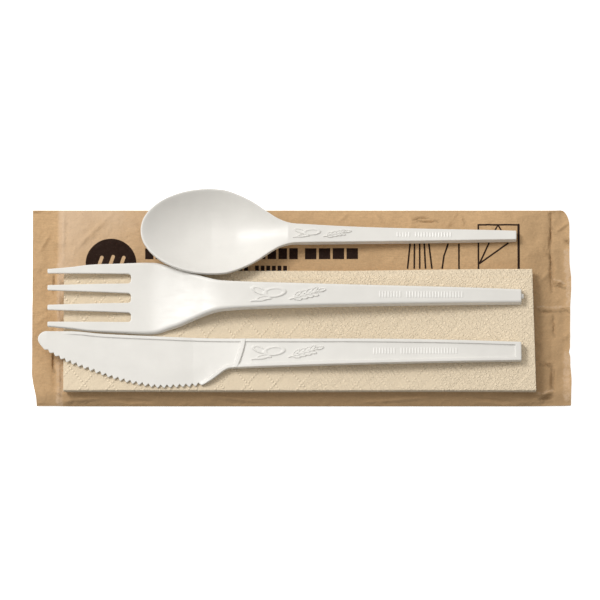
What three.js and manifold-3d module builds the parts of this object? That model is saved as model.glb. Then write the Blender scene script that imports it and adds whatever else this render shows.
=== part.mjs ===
// A cutlery set laid out on its closed kraft paper sleeve. A folded paper napkin lies on the sleeve,
// a fork and a knife lie on the napkin, and a spoon lies on the sleeve behind them, its bowl's rim
// just over the fork's shoulder. Nothing is fastened: every piece only rests on the one below.
// Millimetres, +Z up. The origin is the middle of the sleeve's underside, on its back seam strip.
// +X runs along the cutlery to the handle ends, and +Y points from the knife to the spoon.
import * as THREE from "three";
import { mergeVertices } from "three/addons/utils/BufferGeometryUtils.js";
import Module from "manifold-3d";

const wasm = await Module();
wasm.setup();

// Clearance between pieces that rest on each other, and between pieces that lie side by side
const SEAT_GAP = 0.3;
const SIDE_GAP = 0.35;

// Sleeve: a flat pouch with a seal band across each end and a seam strip along its back
const SLEEVE_LENGTH = 186.8;
const SLEEVE_WIDTH = 69.2;
const SLEEVE_HEIGHT = 3.4;
const SEAL_LENGTH = 7.1;
const SEAL_THICKNESS = 0.45;
const SEAL_UNDERSIDE = 0.7;
const LEFT_RAMP = 8;
const RIGHT_RAMP = 15;
const CORNER_DEPTH = 3;
const CORNER_WIDTH = 6;
const SLEEVE_NIP = 1.7;
const NIP_REACH = 12;
const SLEEVE_SQUARENESS = 8;
const STRIP_WIDTH = 13;
const STRIP_RISE = 0.25;

// Napkin: one sheet folded in half along X, then folded to and fro in eight passes along Y
const NAPKIN_LENGTH = 162.9;
const NAPKIN_WIDTH = 41.65;
const NAPKIN_PASSES = 8;
const PASS_PITCH = 0.4;
const PLY = 0.13;
const FREE_EDGE_STEP = 2.8;
const NAPKIN_FAN = 1;
const NAPKIN_SHIFT = -0.9;
const FRONT_MARGIN = 4.6;

// Fork, from the tine tips to the handle end
const FORK_LENGTH = 163.8;
const FORK_END_INSET = 4.65;
const FORK_FROM_FRONT = 32.5;
const FORK_TURN = 0.25;
const TINE_LENGTH = 28.8;
const TINE_SPREAD = 10.1;
const FORK_HEAD_LENGTH = 60;
const FORK_HEAD_WIDTH = 25.1;
const FORK_NECK_WIDTH = 10.4;
const FORK_END_WIDTH = 4.75;
const SLOT_WIDTH = 3.3;
const SLOT_OFFSET = 6.84;
const SLOT_TIP_OFFSET = 6.45;
const MIDDLE_SLOT_TIP = 5.1;
const OUTER_SLOT_TIP = 4.1;
const SLOT_CORNER = 1;
const FORK_WEB = 1.25;
const TINE_TIP_WEB = 0.9;
const TINE_LIP = 0.25;
const TINE_TIP_LIFT = 2.1;
const FORK_ARCH = 4.9;
const FORK_DISH = 0.45;
const SHOULDER_ROUND = 1.2;
const HANDLE_ROUND = 0.8;
const GATE_RADIUS = 0.55;
const GATE_LENGTH = 0.9;

// Knife, from the blade tip to the handle end
const KNIFE_LENGTH = 166.9;
const KNIFE_END_INSET = 4.75;
const KNIFE_END_WALL = 1.9;
const KNIFE_TURN = 0.41;
const BLADE_LENGTH = 65.3;
const BLADE_BELLY = 11.65;
const BLADE_WEB = 1.1;
const CUTTING_EDGE = 0.5;
const BEVEL_WIDTH = 7;
const KNIFE_HANDLE_WIDTH = 10.1;
const KNIFE_END_WIDTH = 6.5;
const RIM_WIDTH = 1;
const RIM_HEIGHT = 0.55;
const KNIFE_ARCH = 1.8;
const TIP_RADIUS = 3;
const TOOTH_PITCH = 2.19;
const TOOTH_DEPTH = 1.05;
const NOTCH_SHARE = 0.85;
const FIRST_TOOTH = 3.2;
const TOOTHED_SHARE = 0.85;
const CROSS_RIB_PLACE = 4.6;
const CROSS_RIB_WIDTH = 1.3;
const CROSS_RIB_SLANT = 1.5;

// Spoon, from the bowl's tip to the handle end
const SPOON_LENGTH = 130.1;
const SPOON_END_INSET = 6.2;
const SPOON_ROLL = 4;
const SPOON_TURN = 0.2;
const BOWL_LENGTH = 51;
const BOWL_WIDTH = 30.7;
const BOWL_DEPTH = 7.9;
const BOWL_WIDEST = 24.5;
const BOWL_TIP_RISE = 1.4;
const BOWL_WALL = 0.35;
const BOWL_POWER = 2.2;
const SPOON_WEB = 1;
const SPOON_FLANGE = 2.6;
const SPOON_NECK_WIDTH = 6.9;
const SPOON_END_WIDTH = 3.15;
const SPOON_END_LIFT = 0.15;

// Shared by the three moulded handles: flanges turned down along both sides, and a wall at the end
const FLANGE = 3;
const FLANGE_WALL = 0.9;
const FLANGE_DRAFT = 0.1;
const END_WALL = 1.3;
const END_WALL_DRAFT = 0.2;
const END_WALL_LIFT = 0.05;

const PLASTIC = new THREE.MeshStandardMaterial({ color: 0xe9e7df, roughness: 0.42, metalness: 0 });
const KRAFT = new THREE.MeshStandardMaterial({ color: 0xcba67a, roughness: 0.85, metalness: 0 });
const TISSUE = new THREE.MeshStandardMaterial({ color: 0xe2d3b6, roughness: 0.95, metalness: 0 });

const clamp = THREE.MathUtils.clamp;
const lerp = THREE.MathUtils.lerp;
const smooth = THREE.MathUtils.smoothstep;

// Evenly spaced values from a to b, both included
function spaced(a, b, count) {
  return Array.from({ length: count }, (_, i) => lerp(a, b, i / (count - 1)));
}

// Sorted stations without near doubles
function merged(...lists) {
  const all = lists.flat().sort((a, b) => a - b);
  return all.filter((value, i) => i === 0 || value - all[i - 1] > 0.02);
}

// A smooth curve through [x, y] knots that never overshoots them, held level past its ends
function through(knots) {
  const last = knots.length - 1;
  const slopes = knots.slice(1).map(([x, y], i) => (y - knots[i][1]) / (x - knots[i][0]));
  const tangents = knots.map((_, i) => {
    if (i === 0) return slopes[0];
    if (i === last) return slopes[last - 1];
    const [a, b] = [slopes[i - 1], slopes[i]];
    return a * b <= 0 ? 0 : (2 * a * b) / (a + b);
  });
  return (x) => {
    if (x <= knots[0][0]) return knots[0][1];
    if (x >= knots[last][0]) return knots[last][1];
    const i = knots.findIndex(([end]) => end > x) - 1;
    const [[x0, y0], [x1, y1]] = [knots[i], knots[i + 1]];
    const width = x1 - x0;
    const t = (x - x0) / width;
    const rise = y0 * (1 + 2 * t) * (1 - t) ** 2 + y1 * (3 - 2 * t) * t ** 2;
    const bend = tangents[i] * t * (1 - t) ** 2 + tangents[i + 1] * (t - 1) * t ** 2;
    return rise + bend * width;
  };
}

// A closed thick sheet between two grids of points of one size. The first grid is its face, seen
// with rows along +X and columns along +Y, the second its back; strips close its four borders.
function thickSheet(face, back) {
  const rows = face.length;
  const columns = face[0].length;
  const at = (side, i, j) => (side * rows + i) * columns + j;
  const index = [];
  const quad = (a, b, c, d) => index.push(a, b, c, a, c, d);
  for (let i = 0; i < rows - 1; i++) {
    for (let j = 0; j < columns - 1; j++) {
      quad(at(0, i, j), at(0, i + 1, j), at(0, i + 1, j + 1), at(0, i, j + 1));
      quad(at(1, i, j), at(1, i, j + 1), at(1, i + 1, j + 1), at(1, i + 1, j));
    }
    const j = columns - 1;
    quad(at(0, i, 0), at(1, i, 0), at(1, i + 1, 0), at(0, i + 1, 0));
    quad(at(0, i, j), at(0, i + 1, j), at(1, i + 1, j), at(1, i, j));
  }
  for (let j = 0; j < columns - 1; j++) {
    const i = rows - 1;
    quad(at(0, 0, j), at(0, 0, j + 1), at(1, 0, j + 1), at(1, 0, j));
    quad(at(0, i, j), at(1, i, j), at(1, i, j + 1), at(0, i, j + 1));
  }
  const geometry = new THREE.BufferGeometry();
  const points = [...face.flat(), ...back.flat()].flat();
  geometry.setAttribute("position", new THREE.Float32BufferAttribute(points, 3));
  geometry.setIndex(index);
  return geometry;
}

// Joining and cutting closed shapes
function solid(geometry) {
  const bare = geometry.clone();
  bare.deleteAttribute("normal");
  bare.deleteAttribute("uv");
  const welded = mergeVertices(bare, 1e-4);
  const vertProperties = new Float32Array(welded.attributes.position.array);
  const triVerts = new Uint32Array(welded.index.array);
  return new wasm.Manifold(new wasm.Mesh({ numProp: 3, vertProperties, triVerts }));
}

function shape(manifold) {
  const mesh = manifold.getMesh();
  const geometry = new THREE.BufferGeometry();
  geometry.setAttribute("position", new THREE.BufferAttribute(mesh.vertProperties, 3));
  geometry.setIndex(new THREE.BufferAttribute(mesh.triVerts, 1));
  return geometry;
}

// Sleeve

function sleeve() {
  const half = SLEEVE_WIDTH / 2;
  const end = SLEEVE_LENGTH / 2;
  const bandTop = SEAL_UNDERSIDE + SEAL_THICKNESS;
  const ramp = (distance, length) => {
    const p = clamp((distance - SEAL_LENGTH) / length, 0, 1);
    return (1 - (1 - p) ** 2) ** 0.8;
  };
  const swell = (x) => Math.min(ramp(end + x, LEFT_RAMP), ramp(end - x, RIGHT_RAMP));
  const across = (y) => Math.sqrt(Math.max(0, 1 - Math.abs(y / half) ** SLEEVE_SQUARENESS));

  // The back right corner is round, and the front left end is nipped in a little
  const rightEnd = (y) => {
    const into = clamp((y - half) / CORNER_WIDTH + 1, 0, 1);
    return end - CORNER_DEPTH * (1 - Math.sqrt(1 - into ** 2));
  };
  const leftEnd = (y) => -end + SLEEVE_NIP * smooth(-y, half - NIP_REACH, half);

  const rampStations = [0, 0.06, 0.16, 0.32, 0.55, 1];
  const rows = merged(
    [-end, -end + SEAL_LENGTH / 2],
    rampStations.map((p) => -end + SEAL_LENGTH + p * LEFT_RAMP),
    [-40, 0, 40],
    rampStations.map((p) => end - SEAL_LENGTH - p * RIGHT_RAMP),
    [end - SEAL_LENGTH / 2, end],
  );
  const strip = STRIP_WIDTH / 2;
  const edge = [0.25, 0.55, 1.1, 2.1, 3.4, 4.5, 7, 11];
  const columns = merged(
    [-half, half],
    edge.map((d) => -half + d),
    [-strip - STRIP_RISE, -strip, 0, strip, strip + STRIP_RISE],
    edge.map((d) => half - d),
  );
  // Rows keep their spacing, and only the two end bands follow the ends' outlines
  const place = (x, y) => {
    if (x > end - SEAL_LENGTH) return lerp(x, rightEnd(y) - (end - x), (x - end) / SEAL_LENGTH + 1);
    if (x < SEAL_LENGTH - end) return lerp(x, leftEnd(y) + (x + end), (-x - end) / SEAL_LENGTH + 1);
    return x;
  };
  const top = (x, y) => bandTop + (SLEEVE_HEIGHT - bandTop) * swell(x) * across(y);
  const under = (x, y) => {
    const beside = STRIP_RISE * smooth(Math.abs(y), strip, strip + STRIP_RISE);
    return lerp(SEAL_UNDERSIDE, beside, swell(x) * across(y));
  };
  const grid = (height) => rows.map((x) => columns.map((y) => [place(x, y), y, height(x, y)]));
  return thickSheet(grid(top), grid(under));
}

// Napkin

// The fold line to and fro: passes joined by half-round turns, as points with their normals.
// The front turns lie at y = 0 and the back turns at y = width, and both free edges stop short.
function foldLine(width) {
  const radius = PASS_PITCH / 2;
  const level = (pass) => (pass + 0.5) * PASS_PITCH;
  const line = [];
  for (let pass = 0; pass < NAPKIN_PASSES; pass++) {
    const toFront = pass % 2 === 0;
    const first = pass === 0;
    const last = pass === NAPKIN_PASSES - 1;
    const back = width - (first || last ? FREE_EDGE_STEP : radius);
    const ends = toFront ? [back, radius] : [radius, back];
    const normal = toFront ? -1 : 1;
    ends.forEach((y) => line.push({ y, z: level(pass), ny: 0, nz: normal }));
    if (last) break;
    const centre = ends[1];
    const side = toFront ? -1 : 1;
    spaced(0, Math.PI, 5).slice(1, -1).forEach((angle) => {
      const ny = Math.sin(angle);
      const nz = Math.cos(angle) * normal;
      const turn = { y: centre + side * radius * ny, z: level(pass) + radius - radius * Math.cos(angle) };
      line.push({ ...turn, ny: -ny, nz });
    });
  }
  return line;
}

const napkinLeft = NAPKIN_SHIFT - NAPKIN_LENGTH / 2;
const napkinRight = NAPKIN_SHIFT + NAPKIN_LENGTH / 2;
const napkinFront = FRONT_MARGIN - SLEEVE_WIDTH / 2;

function napkin() {
  const lift = SLEEVE_HEIGHT + SEAT_GAP;
  const layer = PASS_PITCH / 4;
  // Half fold along X: out along one layer, round its closed end, back along the other
  const halfFold = (offset) => {
    const reach = NAPKIN_LENGTH - layer;
    const run = [0, reach].map((x) => [x, layer + offset]);
    const turn = spaced(0, Math.PI, 5).slice(1, -1);
    const round = turn.map((a) => [reach + (layer + offset) * Math.sin(a), (layer + offset) * Math.cos(a)]);
    const home = [reach, 0].map((x) => [x, -layer - offset]);
    return [...run, ...round, ...home];
  };
  const line = foldLine(NAPKIN_WIDTH);
  const surface = (offset) => halfFold(offset).map(([along, out]) => line.map((p) => {
    const fan = (NAPKIN_FAN * along * (p.y / NAPKIN_WIDTH)) / NAPKIN_LENGTH;
    return [napkinLeft + along, napkinFront + p.y + fan + p.ny * out, lift + p.z + p.nz * out];
  }));
  return thickSheet(surface(PLY / 2), surface(-PLY / 2));
}

// Moulded plastic

// A moulded bar lofted along X: a web, dished by `dish`, with a flange turned down on both sides and
// its top edges rounded by `round`. All but `stations` are functions of the station.
function moulded({ stations, half, top, dish, flange, wall: wallAt, web, round }) {
  const inner = [-1, -0.82, -0.6, -0.3, 0, 0.3, 0.6, 0.82, 1];
  const cove = 0.3;
  const chamfer = 0.3;
  const section = (s) => {
    const w = half(s);
    const depth = dish(s);
    const r = Math.min(round(s), w / 3);
    const hollow = (y) => top(s) - depth * (1 - Math.min(1, Math.abs(y) / w) ** BOWL_POWER);
    const slope = (y) => (depth * BOWL_POWER * (Math.abs(y) / w) ** (BOWL_POWER - 1)) / w;
    const under = (y) => hollow(y) - web(s) * Math.hypot(1, slope(y));
    const foot = w + FLANGE_DRAFT * flange(s);
    const wall = Math.min(wallAt(s), w / 3);
    const side = [
      [foot, top(s) - flange(s)],
      [w + FLANGE_DRAFT * r, top(s) - r],
      [w - chamfer * r, top(s) - chamfer * r],
    ];
    const footY = foot - wall;
    const footZ = Math.min(top(s) - flange(s), under(Math.min(footY, w)));
    const shoulder = w - wall;
    const backSide = [
      [footY, footZ],
      [shoulder, lerp(footZ, under(shoulder - cove), 0.8)],
      [shoulder - cove, under(shoulder - cove)],
    ];
    const mirror = (points) => [...points].reverse().map(([y, z]) => [y, z]);
    const face = [
      ...side.map(([y, z]) => [s, -y, z]),
      ...inner.map((c) => [s, c * (w - r), hollow(c * (w - r))]),
      ...mirror(side).map(([y, z]) => [s, y, z]),
    ];
    const reach = shoulder - 2 * cove;
    const back = [
      ...backSide.map(([y, z]) => [s, -y, z]),
      ...inner.map((c) => [s, c * reach, under(c * reach)]),
      ...mirror(backSide).map(([y, z]) => [s, y, z]),
    ];
    return { face, back };
  };
  const sections = stations.map(section);
  return thickSheet(sections.map((x) => x.face), sections.map((x) => x.back));
}

// How far the end wall has grown at a station: none along the handle, whole in its last stretch
function endWall(s, length, wall = END_WALL) {
  return smooth(s, length - wall - END_WALL_DRAFT, length - wall);
}

// Fork

function forkSlot(tipY, rootY, tipWidth) {
  const start = -1;
  const past = (TINE_LENGTH - start) / TINE_LENGTH;
  const startY = lerp(rootY, tipY, past);
  const startHalf = lerp(SLOT_WIDTH, tipWidth, past) / 2;
  const rootHalf = SLOT_WIDTH / 2;
  const outline = new THREE.Shape();
  const corner = TINE_LENGTH - SLOT_CORNER;
  outline.moveTo(start, startY - startHalf);
  outline.lineTo(corner, rootY - rootHalf);
  outline.absarc(corner, rootY - rootHalf + SLOT_CORNER, SLOT_CORNER, -Math.PI / 2, 0, false);
  outline.absarc(corner, rootY + rootHalf - SLOT_CORNER, SLOT_CORNER, 0, Math.PI / 2, false);
  outline.lineTo(start, startY + startHalf);
  outline.closePath();
  const cut = new THREE.ExtrudeGeometry(outline, { depth: 20, bevelEnabled: false, curveSegments: 5 });
  cut.translate(0, 0, -5);
  return solid(cut);
}

// The fork's half width, flange and height of its top face, as functions of the station
function forkForm() {
  const head = FORK_HEAD_LENGTH;
  const width = (share) => lerp(FORK_NECK_WIDTH, FORK_HEAD_WIDTH, share) / 2;
  const half = through([
    [0, TINE_SPREAD],
    [head * 0.14, lerp(TINE_SPREAD, width(1), 0.3)],
    [head * 0.23, lerp(TINE_SPREAD, width(1), 0.6)],
    [head * 0.45, lerp(TINE_SPREAD, width(1), 0.88)],
    [head * 0.56, width(1)],
    [head * 0.61, width(0.995)],
    [head * 0.65, width(0.945)],
    [head * 0.69, width(0.83)],
    [head * 0.75, width(0.69)],
    [head * 0.81, width(0.495)],
    [head * 0.88, width(0.273)],
    [head * 0.94, width(0.11)],
    [head, width(0)],
    [head * 1.2, FORK_NECK_WIDTH * 0.43],
    [FORK_LENGTH, FORK_END_WIDTH / 2],
  ]);
  const plate = FORK_WEB + TINE_LIP;
  const flange = through([
    [0, TINE_TIP_WEB + TINE_LIP],
    [TINE_LENGTH, plate],
    [head * 0.58, plate],
    [head * 0.72, lerp(plate, FLANGE, 0.5)],
    [head * 0.9, FLANGE],
  ]);
  const foot = through([
    [0, TINE_TIP_LIFT],
    [head * 0.23, TINE_TIP_LIFT * 0.7],
    [head * 0.48, TINE_TIP_LIFT * 0.28],
    [head * 0.58, FORK_DISH],
    [head * 0.68, FORK_DISH + FORK_ARCH * 0.04],
    [head * 0.77, FORK_ARCH * 0.27],
    [head * 0.85, FORK_ARCH * 0.51],
    [head * 0.93, FORK_ARCH * 0.8],
    [head * 1.02, FORK_ARCH * 0.95],
    [head * 1.17, FORK_ARCH],
    [lerp(head, FORK_LENGTH, 0.75), FORK_ARCH * 0.47],
    [FORK_LENGTH, 0],
  ]);
  const top = (s) => foot(s) + flange(s);
  return { half, flange, top };
}

function fork({ half, flange, top }) {
  const head = FORK_HEAD_LENGTH;
  const thickness = through([[0, TINE_TIP_WEB], [TINE_LENGTH, FORK_WEB]]);
  const web = (s) => lerp(thickness(s), FLANGE - END_WALL_LIFT, endWall(s, FORK_LENGTH));
  const round = through([
    [head * 0.3, 0.35],
    [head * 0.75, SHOULDER_ROUND],
    [head * 0.95, SHOULDER_ROUND],
    [head * 1.15, HANDLE_ROUND],
  ]);
  const dish = through([
    [TINE_LENGTH * 0.6, 0],
    [head * 0.6, FORK_DISH],
    [head * 0.8, FORK_DISH],
    [head * 1.15, 0],
  ]);
  const stations = merged(
    spaced(0, TINE_LENGTH, 6),
    spaced(head * 0.52, head * 1.2, 24),
    spaced(head * 1.2, FORK_LENGTH - END_WALL - END_WALL_DRAFT, 9),
    [FORK_LENGTH - END_WALL, FORK_LENGTH],
  );
  const wall = () => FLANGE_WALL;
  let body = solid(moulded({ stations, half, top, dish, flange, wall, web, round }));
  body = body.subtract(forkSlot(0, 0, MIDDLE_SLOT_TIP));
  body = body.subtract(forkSlot(SLOT_TIP_OFFSET, SLOT_OFFSET, OUTER_SLOT_TIP));
  body = body.subtract(forkSlot(-SLOT_TIP_OFFSET, -SLOT_OFFSET, OUTER_SLOT_TIP));

  // The stub left where the moulding was broken from its runner
  const gate = new THREE.CylinderGeometry(GATE_RADIUS, GATE_RADIUS, GATE_LENGTH + END_WALL / 2, 12);
  gate.rotateZ(Math.PI / 2);
  gate.translate(FORK_LENGTH + (GATE_LENGTH - END_WALL / 2) / 2, 0, FLANGE / 2 + 0.2);
  return shape(body.add(solid(gate)));
}

// Spoon

// The spoon's half width, depth of dish and height of its rim, as functions of the station
function spoonForm() {
  const wide = BOWL_WIDTH / 2;
  const rest = SPOON_WEB + BOWL_DEPTH;
  const back = BOWL_LENGTH - BOWL_WIDEST;
  const width = (share) => lerp(SPOON_NECK_WIDTH / 2, wide, share);
  const along = (share) => BOWL_WIDEST + back * share;
  const rear = through([
    [BOWL_WIDEST, wide],
    [along(0.15), width(0.978)],
    [along(0.385), width(0.81)],
    [along(0.53), width(0.65)],
    [along(0.645), width(0.483)],
    [along(0.775), width(0.273)],
    [along(0.905), width(0.105)],
    [BOWL_LENGTH + 2, SPOON_NECK_WIDTH / 2],
    [SPOON_LENGTH, SPOON_END_WIDTH / 2],
  ]);
  const front = (s) => wide * Math.sqrt(1 - ((BOWL_WIDEST - s) / BOWL_WIDEST) ** 2);
  const half = (s) => (s < BOWL_WIDEST ? front(s) : rear(s));
  const rearDish = through([
    [BOWL_WIDEST, BOWL_DEPTH],
    [along(0.3), BOWL_DEPTH * 0.86],
    [along(0.6), BOWL_DEPTH * 0.5],
    [along(0.85), BOWL_DEPTH * 0.14],
    [BOWL_LENGTH, 0],
  ]);
  const frontDish = (s) => BOWL_DEPTH * (front(s) / wide) ** 1.5;
  const dish = (s) => (s < BOWL_WIDEST ? frontDish(s) : rearDish(s));
  // The rim falls evenly from the tip to the neck, and the handle then levels off
  const height = (share) => lerp(FLANGE, rest, share);
  const handle = (share) => lerp(BOWL_LENGTH, SPOON_LENGTH, share);
  const top = through([
    [0, rest + BOWL_TIP_RISE],
    [BOWL_WIDEST * 0.4, rest + BOWL_TIP_RISE * 0.64],
    [BOWL_WIDEST, rest],
    [along(0.5), height(0.77)],
    [along(0.89), height(0.6)],
    [handle(0.075), height(0.52)],
    [handle(0.2), height(0.365)],
    [handle(0.34), height(0.23)],
    [handle(0.46), height(0.154)],
    [handle(0.6), height(0.096)],
    [handle(0.85), height(0.03)],
    [SPOON_LENGTH, SPOON_FLANGE + SPOON_END_LIFT],
  ]);
  return { half, dish, top };
}

function spoon({ half, dish, top }) {
  const back = BOWL_LENGTH - BOWL_WIDEST;
  const flange = through([[BOWL_WIDEST + back * 0.7, SPOON_WEB], [BOWL_LENGTH + 6, SPOON_FLANGE]]);
  const web = (s) => lerp(SPOON_WEB, SPOON_FLANGE - END_WALL_LIFT, endWall(s, SPOON_LENGTH));
  const wall = through([[BOWL_WIDEST + back * 0.55, BOWL_WALL], [BOWL_LENGTH + 2, FLANGE_WALL]]);
  const sweep = spaced(0.1, Math.PI / 2, 11).map((a) => BOWL_WIDEST * (1 - Math.cos(a)));
  const stations = merged(
    sweep,
    spaced(BOWL_WIDEST, BOWL_LENGTH, 15),
    [BOWL_LENGTH + 1.5, BOWL_LENGTH + 4],
    spaced(BOWL_LENGTH + 8, SPOON_LENGTH - END_WALL - END_WALL_DRAFT, 8),
    [SPOON_LENGTH - END_WALL, SPOON_LENGTH],
  );
  return moulded({ stations, half, top, dish, flange, wall, web, round: () => 0.3 });
}

// Knife

// The blade's two outlines: the spine above and the toothed edge below, with a round tip
function knifeOutlines() {
  const handleHalf = KNIFE_HANDLE_WIDTH / 2;
  const endHalf = KNIFE_END_WIDTH / 2;
  const blade = BLADE_LENGTH;
  const spine = through([
    [0, handleHalf + 3.45],
    [blade * 0.17, handleHalf + 3.4],
    [blade * 0.33, handleHalf + 2.4],
    [blade * 0.67, handleHalf + 1.2],
    [blade + 6, handleHalf],
    [lerp(blade, KNIFE_LENGTH, 0.65), lerp(endHalf, handleHalf, 0.5)],
    [KNIFE_LENGTH, endHalf],
  ]);
  const belly = (share) => -BLADE_BELLY * share;
  const edge = through([
    [0, 3.5],
    [blade * 0.025, 2.4],
    [blade * 0.057, 1.15],
    [blade * 0.145, belly(0.186)],
    [blade * 0.27, belly(0.459)],
    [blade * 0.424, belly(0.76)],
    [blade * 0.533, belly(0.906)],
    [blade * 0.65, belly(1)],
    [blade * 0.764, belly(0.979)],
    [blade * 0.86, belly(0.94)],
    [blade * 0.885, belly(0.884)],
    [blade * 0.925, belly(0.751)],
    [blade * 0.96, belly(0.605)],
    [blade * 0.99, -handleHalf - 0.6],
    [blade * 1.015, -handleHalf - 0.05],
    [blade + 4, -handleHalf + 0.02],
    [KNIFE_LENGTH, -endHalf],
  ]);
  const tipMiddle = lerp(edge(0), spine(0), 0.46);
  const bow = (s) => {
    const into = clamp(TIP_RADIUS - s, 0, TIP_RADIUS);
    return Math.sqrt(TIP_RADIUS ** 2 - into ** 2) / TIP_RADIUS;
  };
  return {
    upper: (s) => lerp(tipMiddle, spine(s), bow(s)),
    lower: (s) => lerp(tipMiddle, edge(s), bow(s)),
  };
}

function knifeBody({ upper, lower }) {
  const blade = BLADE_LENGTH;
  const ribAt = blade + CROSS_RIB_PLACE;
  const handle = (part) => lerp(blade, KNIFE_LENGTH, part);
  const foot = through([
    [0, 0.7],
    [blade * 0.25, 0.15],
    [blade * 0.4, 0],
    [blade * 0.9, 0],
    [handle(0.12), KNIFE_ARCH * 0.4],
    [handle(0.45), KNIFE_ARCH],
    [handle(0.75), KNIFE_ARCH * 0.8],
    [KNIFE_LENGTH, 0.2],
  ]);
  const depth = through([[blade * 0.82, BLADE_WEB], [blade + 8, FLANGE - RIM_HEIGHT]]);
  const floor = (s) => foot(s) + depth(s);
  const spineRim = through([[blade * 0.13, 0.02], [blade * 0.24, RIM_HEIGHT]]);
  const edgeRim = through([[blade * 0.86, 0.02], [blade * 0.9, RIM_HEIGHT]]);
  const edgeFoot = (s) => lerp(CUTTING_EDGE, depth(s), smooth(s, blade * 0.86, blade * 0.92));
  const bevel = through([[blade * 0.84, 1], [blade * 0.92, 0]]);
  const rib = (s) => {
    const cross = 1 - smooth(Math.abs(s - ribAt), CROSS_RIB_WIDTH / 2, CROSS_RIB_WIDTH / 2 + 0.3);
    return RIM_HEIGHT * Math.max(cross, endWall(s, KNIFE_LENGTH, KNIFE_END_WALL));
  };
  const slant = (s) => CROSS_RIB_SLANT * (1 - smooth(Math.abs(s - ribAt), 1, 3.5));
  const bladeWidth = (s) => upper(s) - lower(s);

  const section = (s) => {
    const [low, high] = [lower(s), upper(s)];
    const rim = Math.min(RIM_WIDTH, bladeWidth(s) / 6);
    const edge = Math.min(0.25, rim / 3);
    const level = floor(s);
    const ground = level + rib(s);
    const thin = (BLADE_WEB - CUTTING_EDGE) * bevel(s);
    const bevelled = (y) => thin * (1 - smooth(y, low, low + BEVEL_WIDTH));
    const fall = (y) => 0.6 * bevelled(y);
    const rimmed = (y, rise) => Math.max(level + rise, ground) - fall(y);
    const span = [0.15, 0.4, 0.65, 0.9];
    const mid = span.map((p) => lerp(low + rim + edge, high - rim - edge, p));
    const shear = (y) => s + slant(s) * ((2 * (y - low)) / (high - low) - 1);
    const place = ([y, z]) => [shear(y), y, z];
    const face = [
      [low, rimmed(low, edgeRim(s)) - edge * 0.6],
      [low + edge, rimmed(low + edge, edgeRim(s))],
      [low + rim, rimmed(low + rim, edgeRim(s))],
      [low + rim + edge, ground - fall(low + rim + edge)],
      ...mid.map((y) => [y, ground - fall(y)]),
      [high - rim - edge, ground - fall(high - rim - edge)],
      [high - rim, rimmed(high - rim, spineRim(s))],
      [high - edge, rimmed(high - edge, spineRim(s))],
      [high, rimmed(high, spineRim(s)) - edge * 0.6],
    ];
    const solidEnd = endWall(s, KNIFE_LENGTH, KNIFE_END_WALL);
    const webDepth = lerp(BLADE_WEB, FLANGE - RIM_HEIGHT, solidEnd) - END_WALL_LIFT;
    const under = (y) => level - webDepth + 0.4 * bevelled(y);
    const wall = Math.min(FLANGE_WALL, bladeWidth(s) / 5);
    const back = [
      [low + edge * 0.5, level - edgeFoot(s) - 0.6 * thin],
      [low + wall, Math.min(level - edgeFoot(s), under(low + wall))],
      [low + wall + edge, under(low + wall + edge)],
      [low + wall + 2 * edge, under(low + wall + 2 * edge)],
      ...mid.map((y) => [y, under(y)]),
      [high - wall - 2 * edge, under(high)],
      [high - wall - edge, under(high)],
      [high - wall, level - depth(s)],
      [high - edge * 0.5, level - depth(s)],
    ];
    return { face: face.map(place), back: back.map(place) };
  };
  const ribEdges = [-0.95, -0.65, 0, 0.65, 0.95].map((d) => ribAt + d);
  const stations = merged(
    [0.03, 0.25, 0.7, 1.3, 2.1, 3, 4.6],
    spaced(blade * 0.1, blade * 0.84, 15),
    spaced(blade * 0.86, blade + 3, 9),
    ribEdges,
    spaced(blade + 8, KNIFE_LENGTH - KNIFE_END_WALL - END_WALL_DRAFT, 9),
    [KNIFE_LENGTH - KNIFE_END_WALL, KNIFE_LENGTH],
  );
  const sections = stations.map(section);
  return thickSheet(sections.map((x) => x.face), sections.map((x) => x.back));
}

// One notch between two teeth, square to the edge line at its station
function toothNotch({ lower }, s) {
  const reach = 0.2;
  const slope = (lower(s + reach) - lower(s - reach)) / (2 * reach);
  const width = TOOTH_PITCH * NOTCH_SHARE;
  const over = 1;
  const spread = (width / 2) * (1 + over / TOOTH_DEPTH);
  const outline = new THREE.Shape();
  outline.moveTo(-spread, -over);
  outline.lineTo(spread, -over);
  outline.lineTo(0, TOOTH_DEPTH);
  outline.closePath();
  const notch = new THREE.ExtrudeGeometry(outline, { depth: 10, bevelEnabled: false });
  notch.rotateZ(Math.atan(slope));
  notch.translate(s, lower(s), -4);
  return solid(notch);
}

function knife(outlines) {
  let body = solid(knifeBody(outlines));
  // Stations are spaced by the edge's own length, so every tooth has the same pitch
  const step = 0.05;
  const lastTooth = BLADE_LENGTH * TOOTHED_SHARE;
  let travelled = 0;
  for (let s = FIRST_TOOTH; s < lastTooth; s += step) {
    if (travelled <= 0) {
      body = body.subtract(toothNotch(outlines, s));
      travelled += TOOTH_PITCH;
    }
    travelled -= Math.hypot(step, outlines.lower(s + step) - outlines.lower(s));
  }
  return shape(body);
}

// Layout

function piece(name, geometry, material) {
  const mesh = new THREE.Mesh(geometry, material);
  mesh.name = name;
  return mesh;
}

// A cutlery piece, built from its tip at x = 0, laid down about its handle end
function laid(mesh, endX, endY, length, turn, z) {
  const angle = THREE.MathUtils.degToRad(turn);
  mesh.rotation.z = angle;
  mesh.position.set(endX - length * Math.cos(angle), endY - length * Math.sin(angle), z);
  return mesh;
}

const sleeveTop = SLEEVE_HEIGHT + SEAT_GAP;
const napkinTop = sleeveTop + NAPKIN_PASSES * PASS_PITCH + SEAT_GAP;
const forkShape = forkForm();
const knifeShape = knifeOutlines();
const spoonShape = spoonForm();

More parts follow.
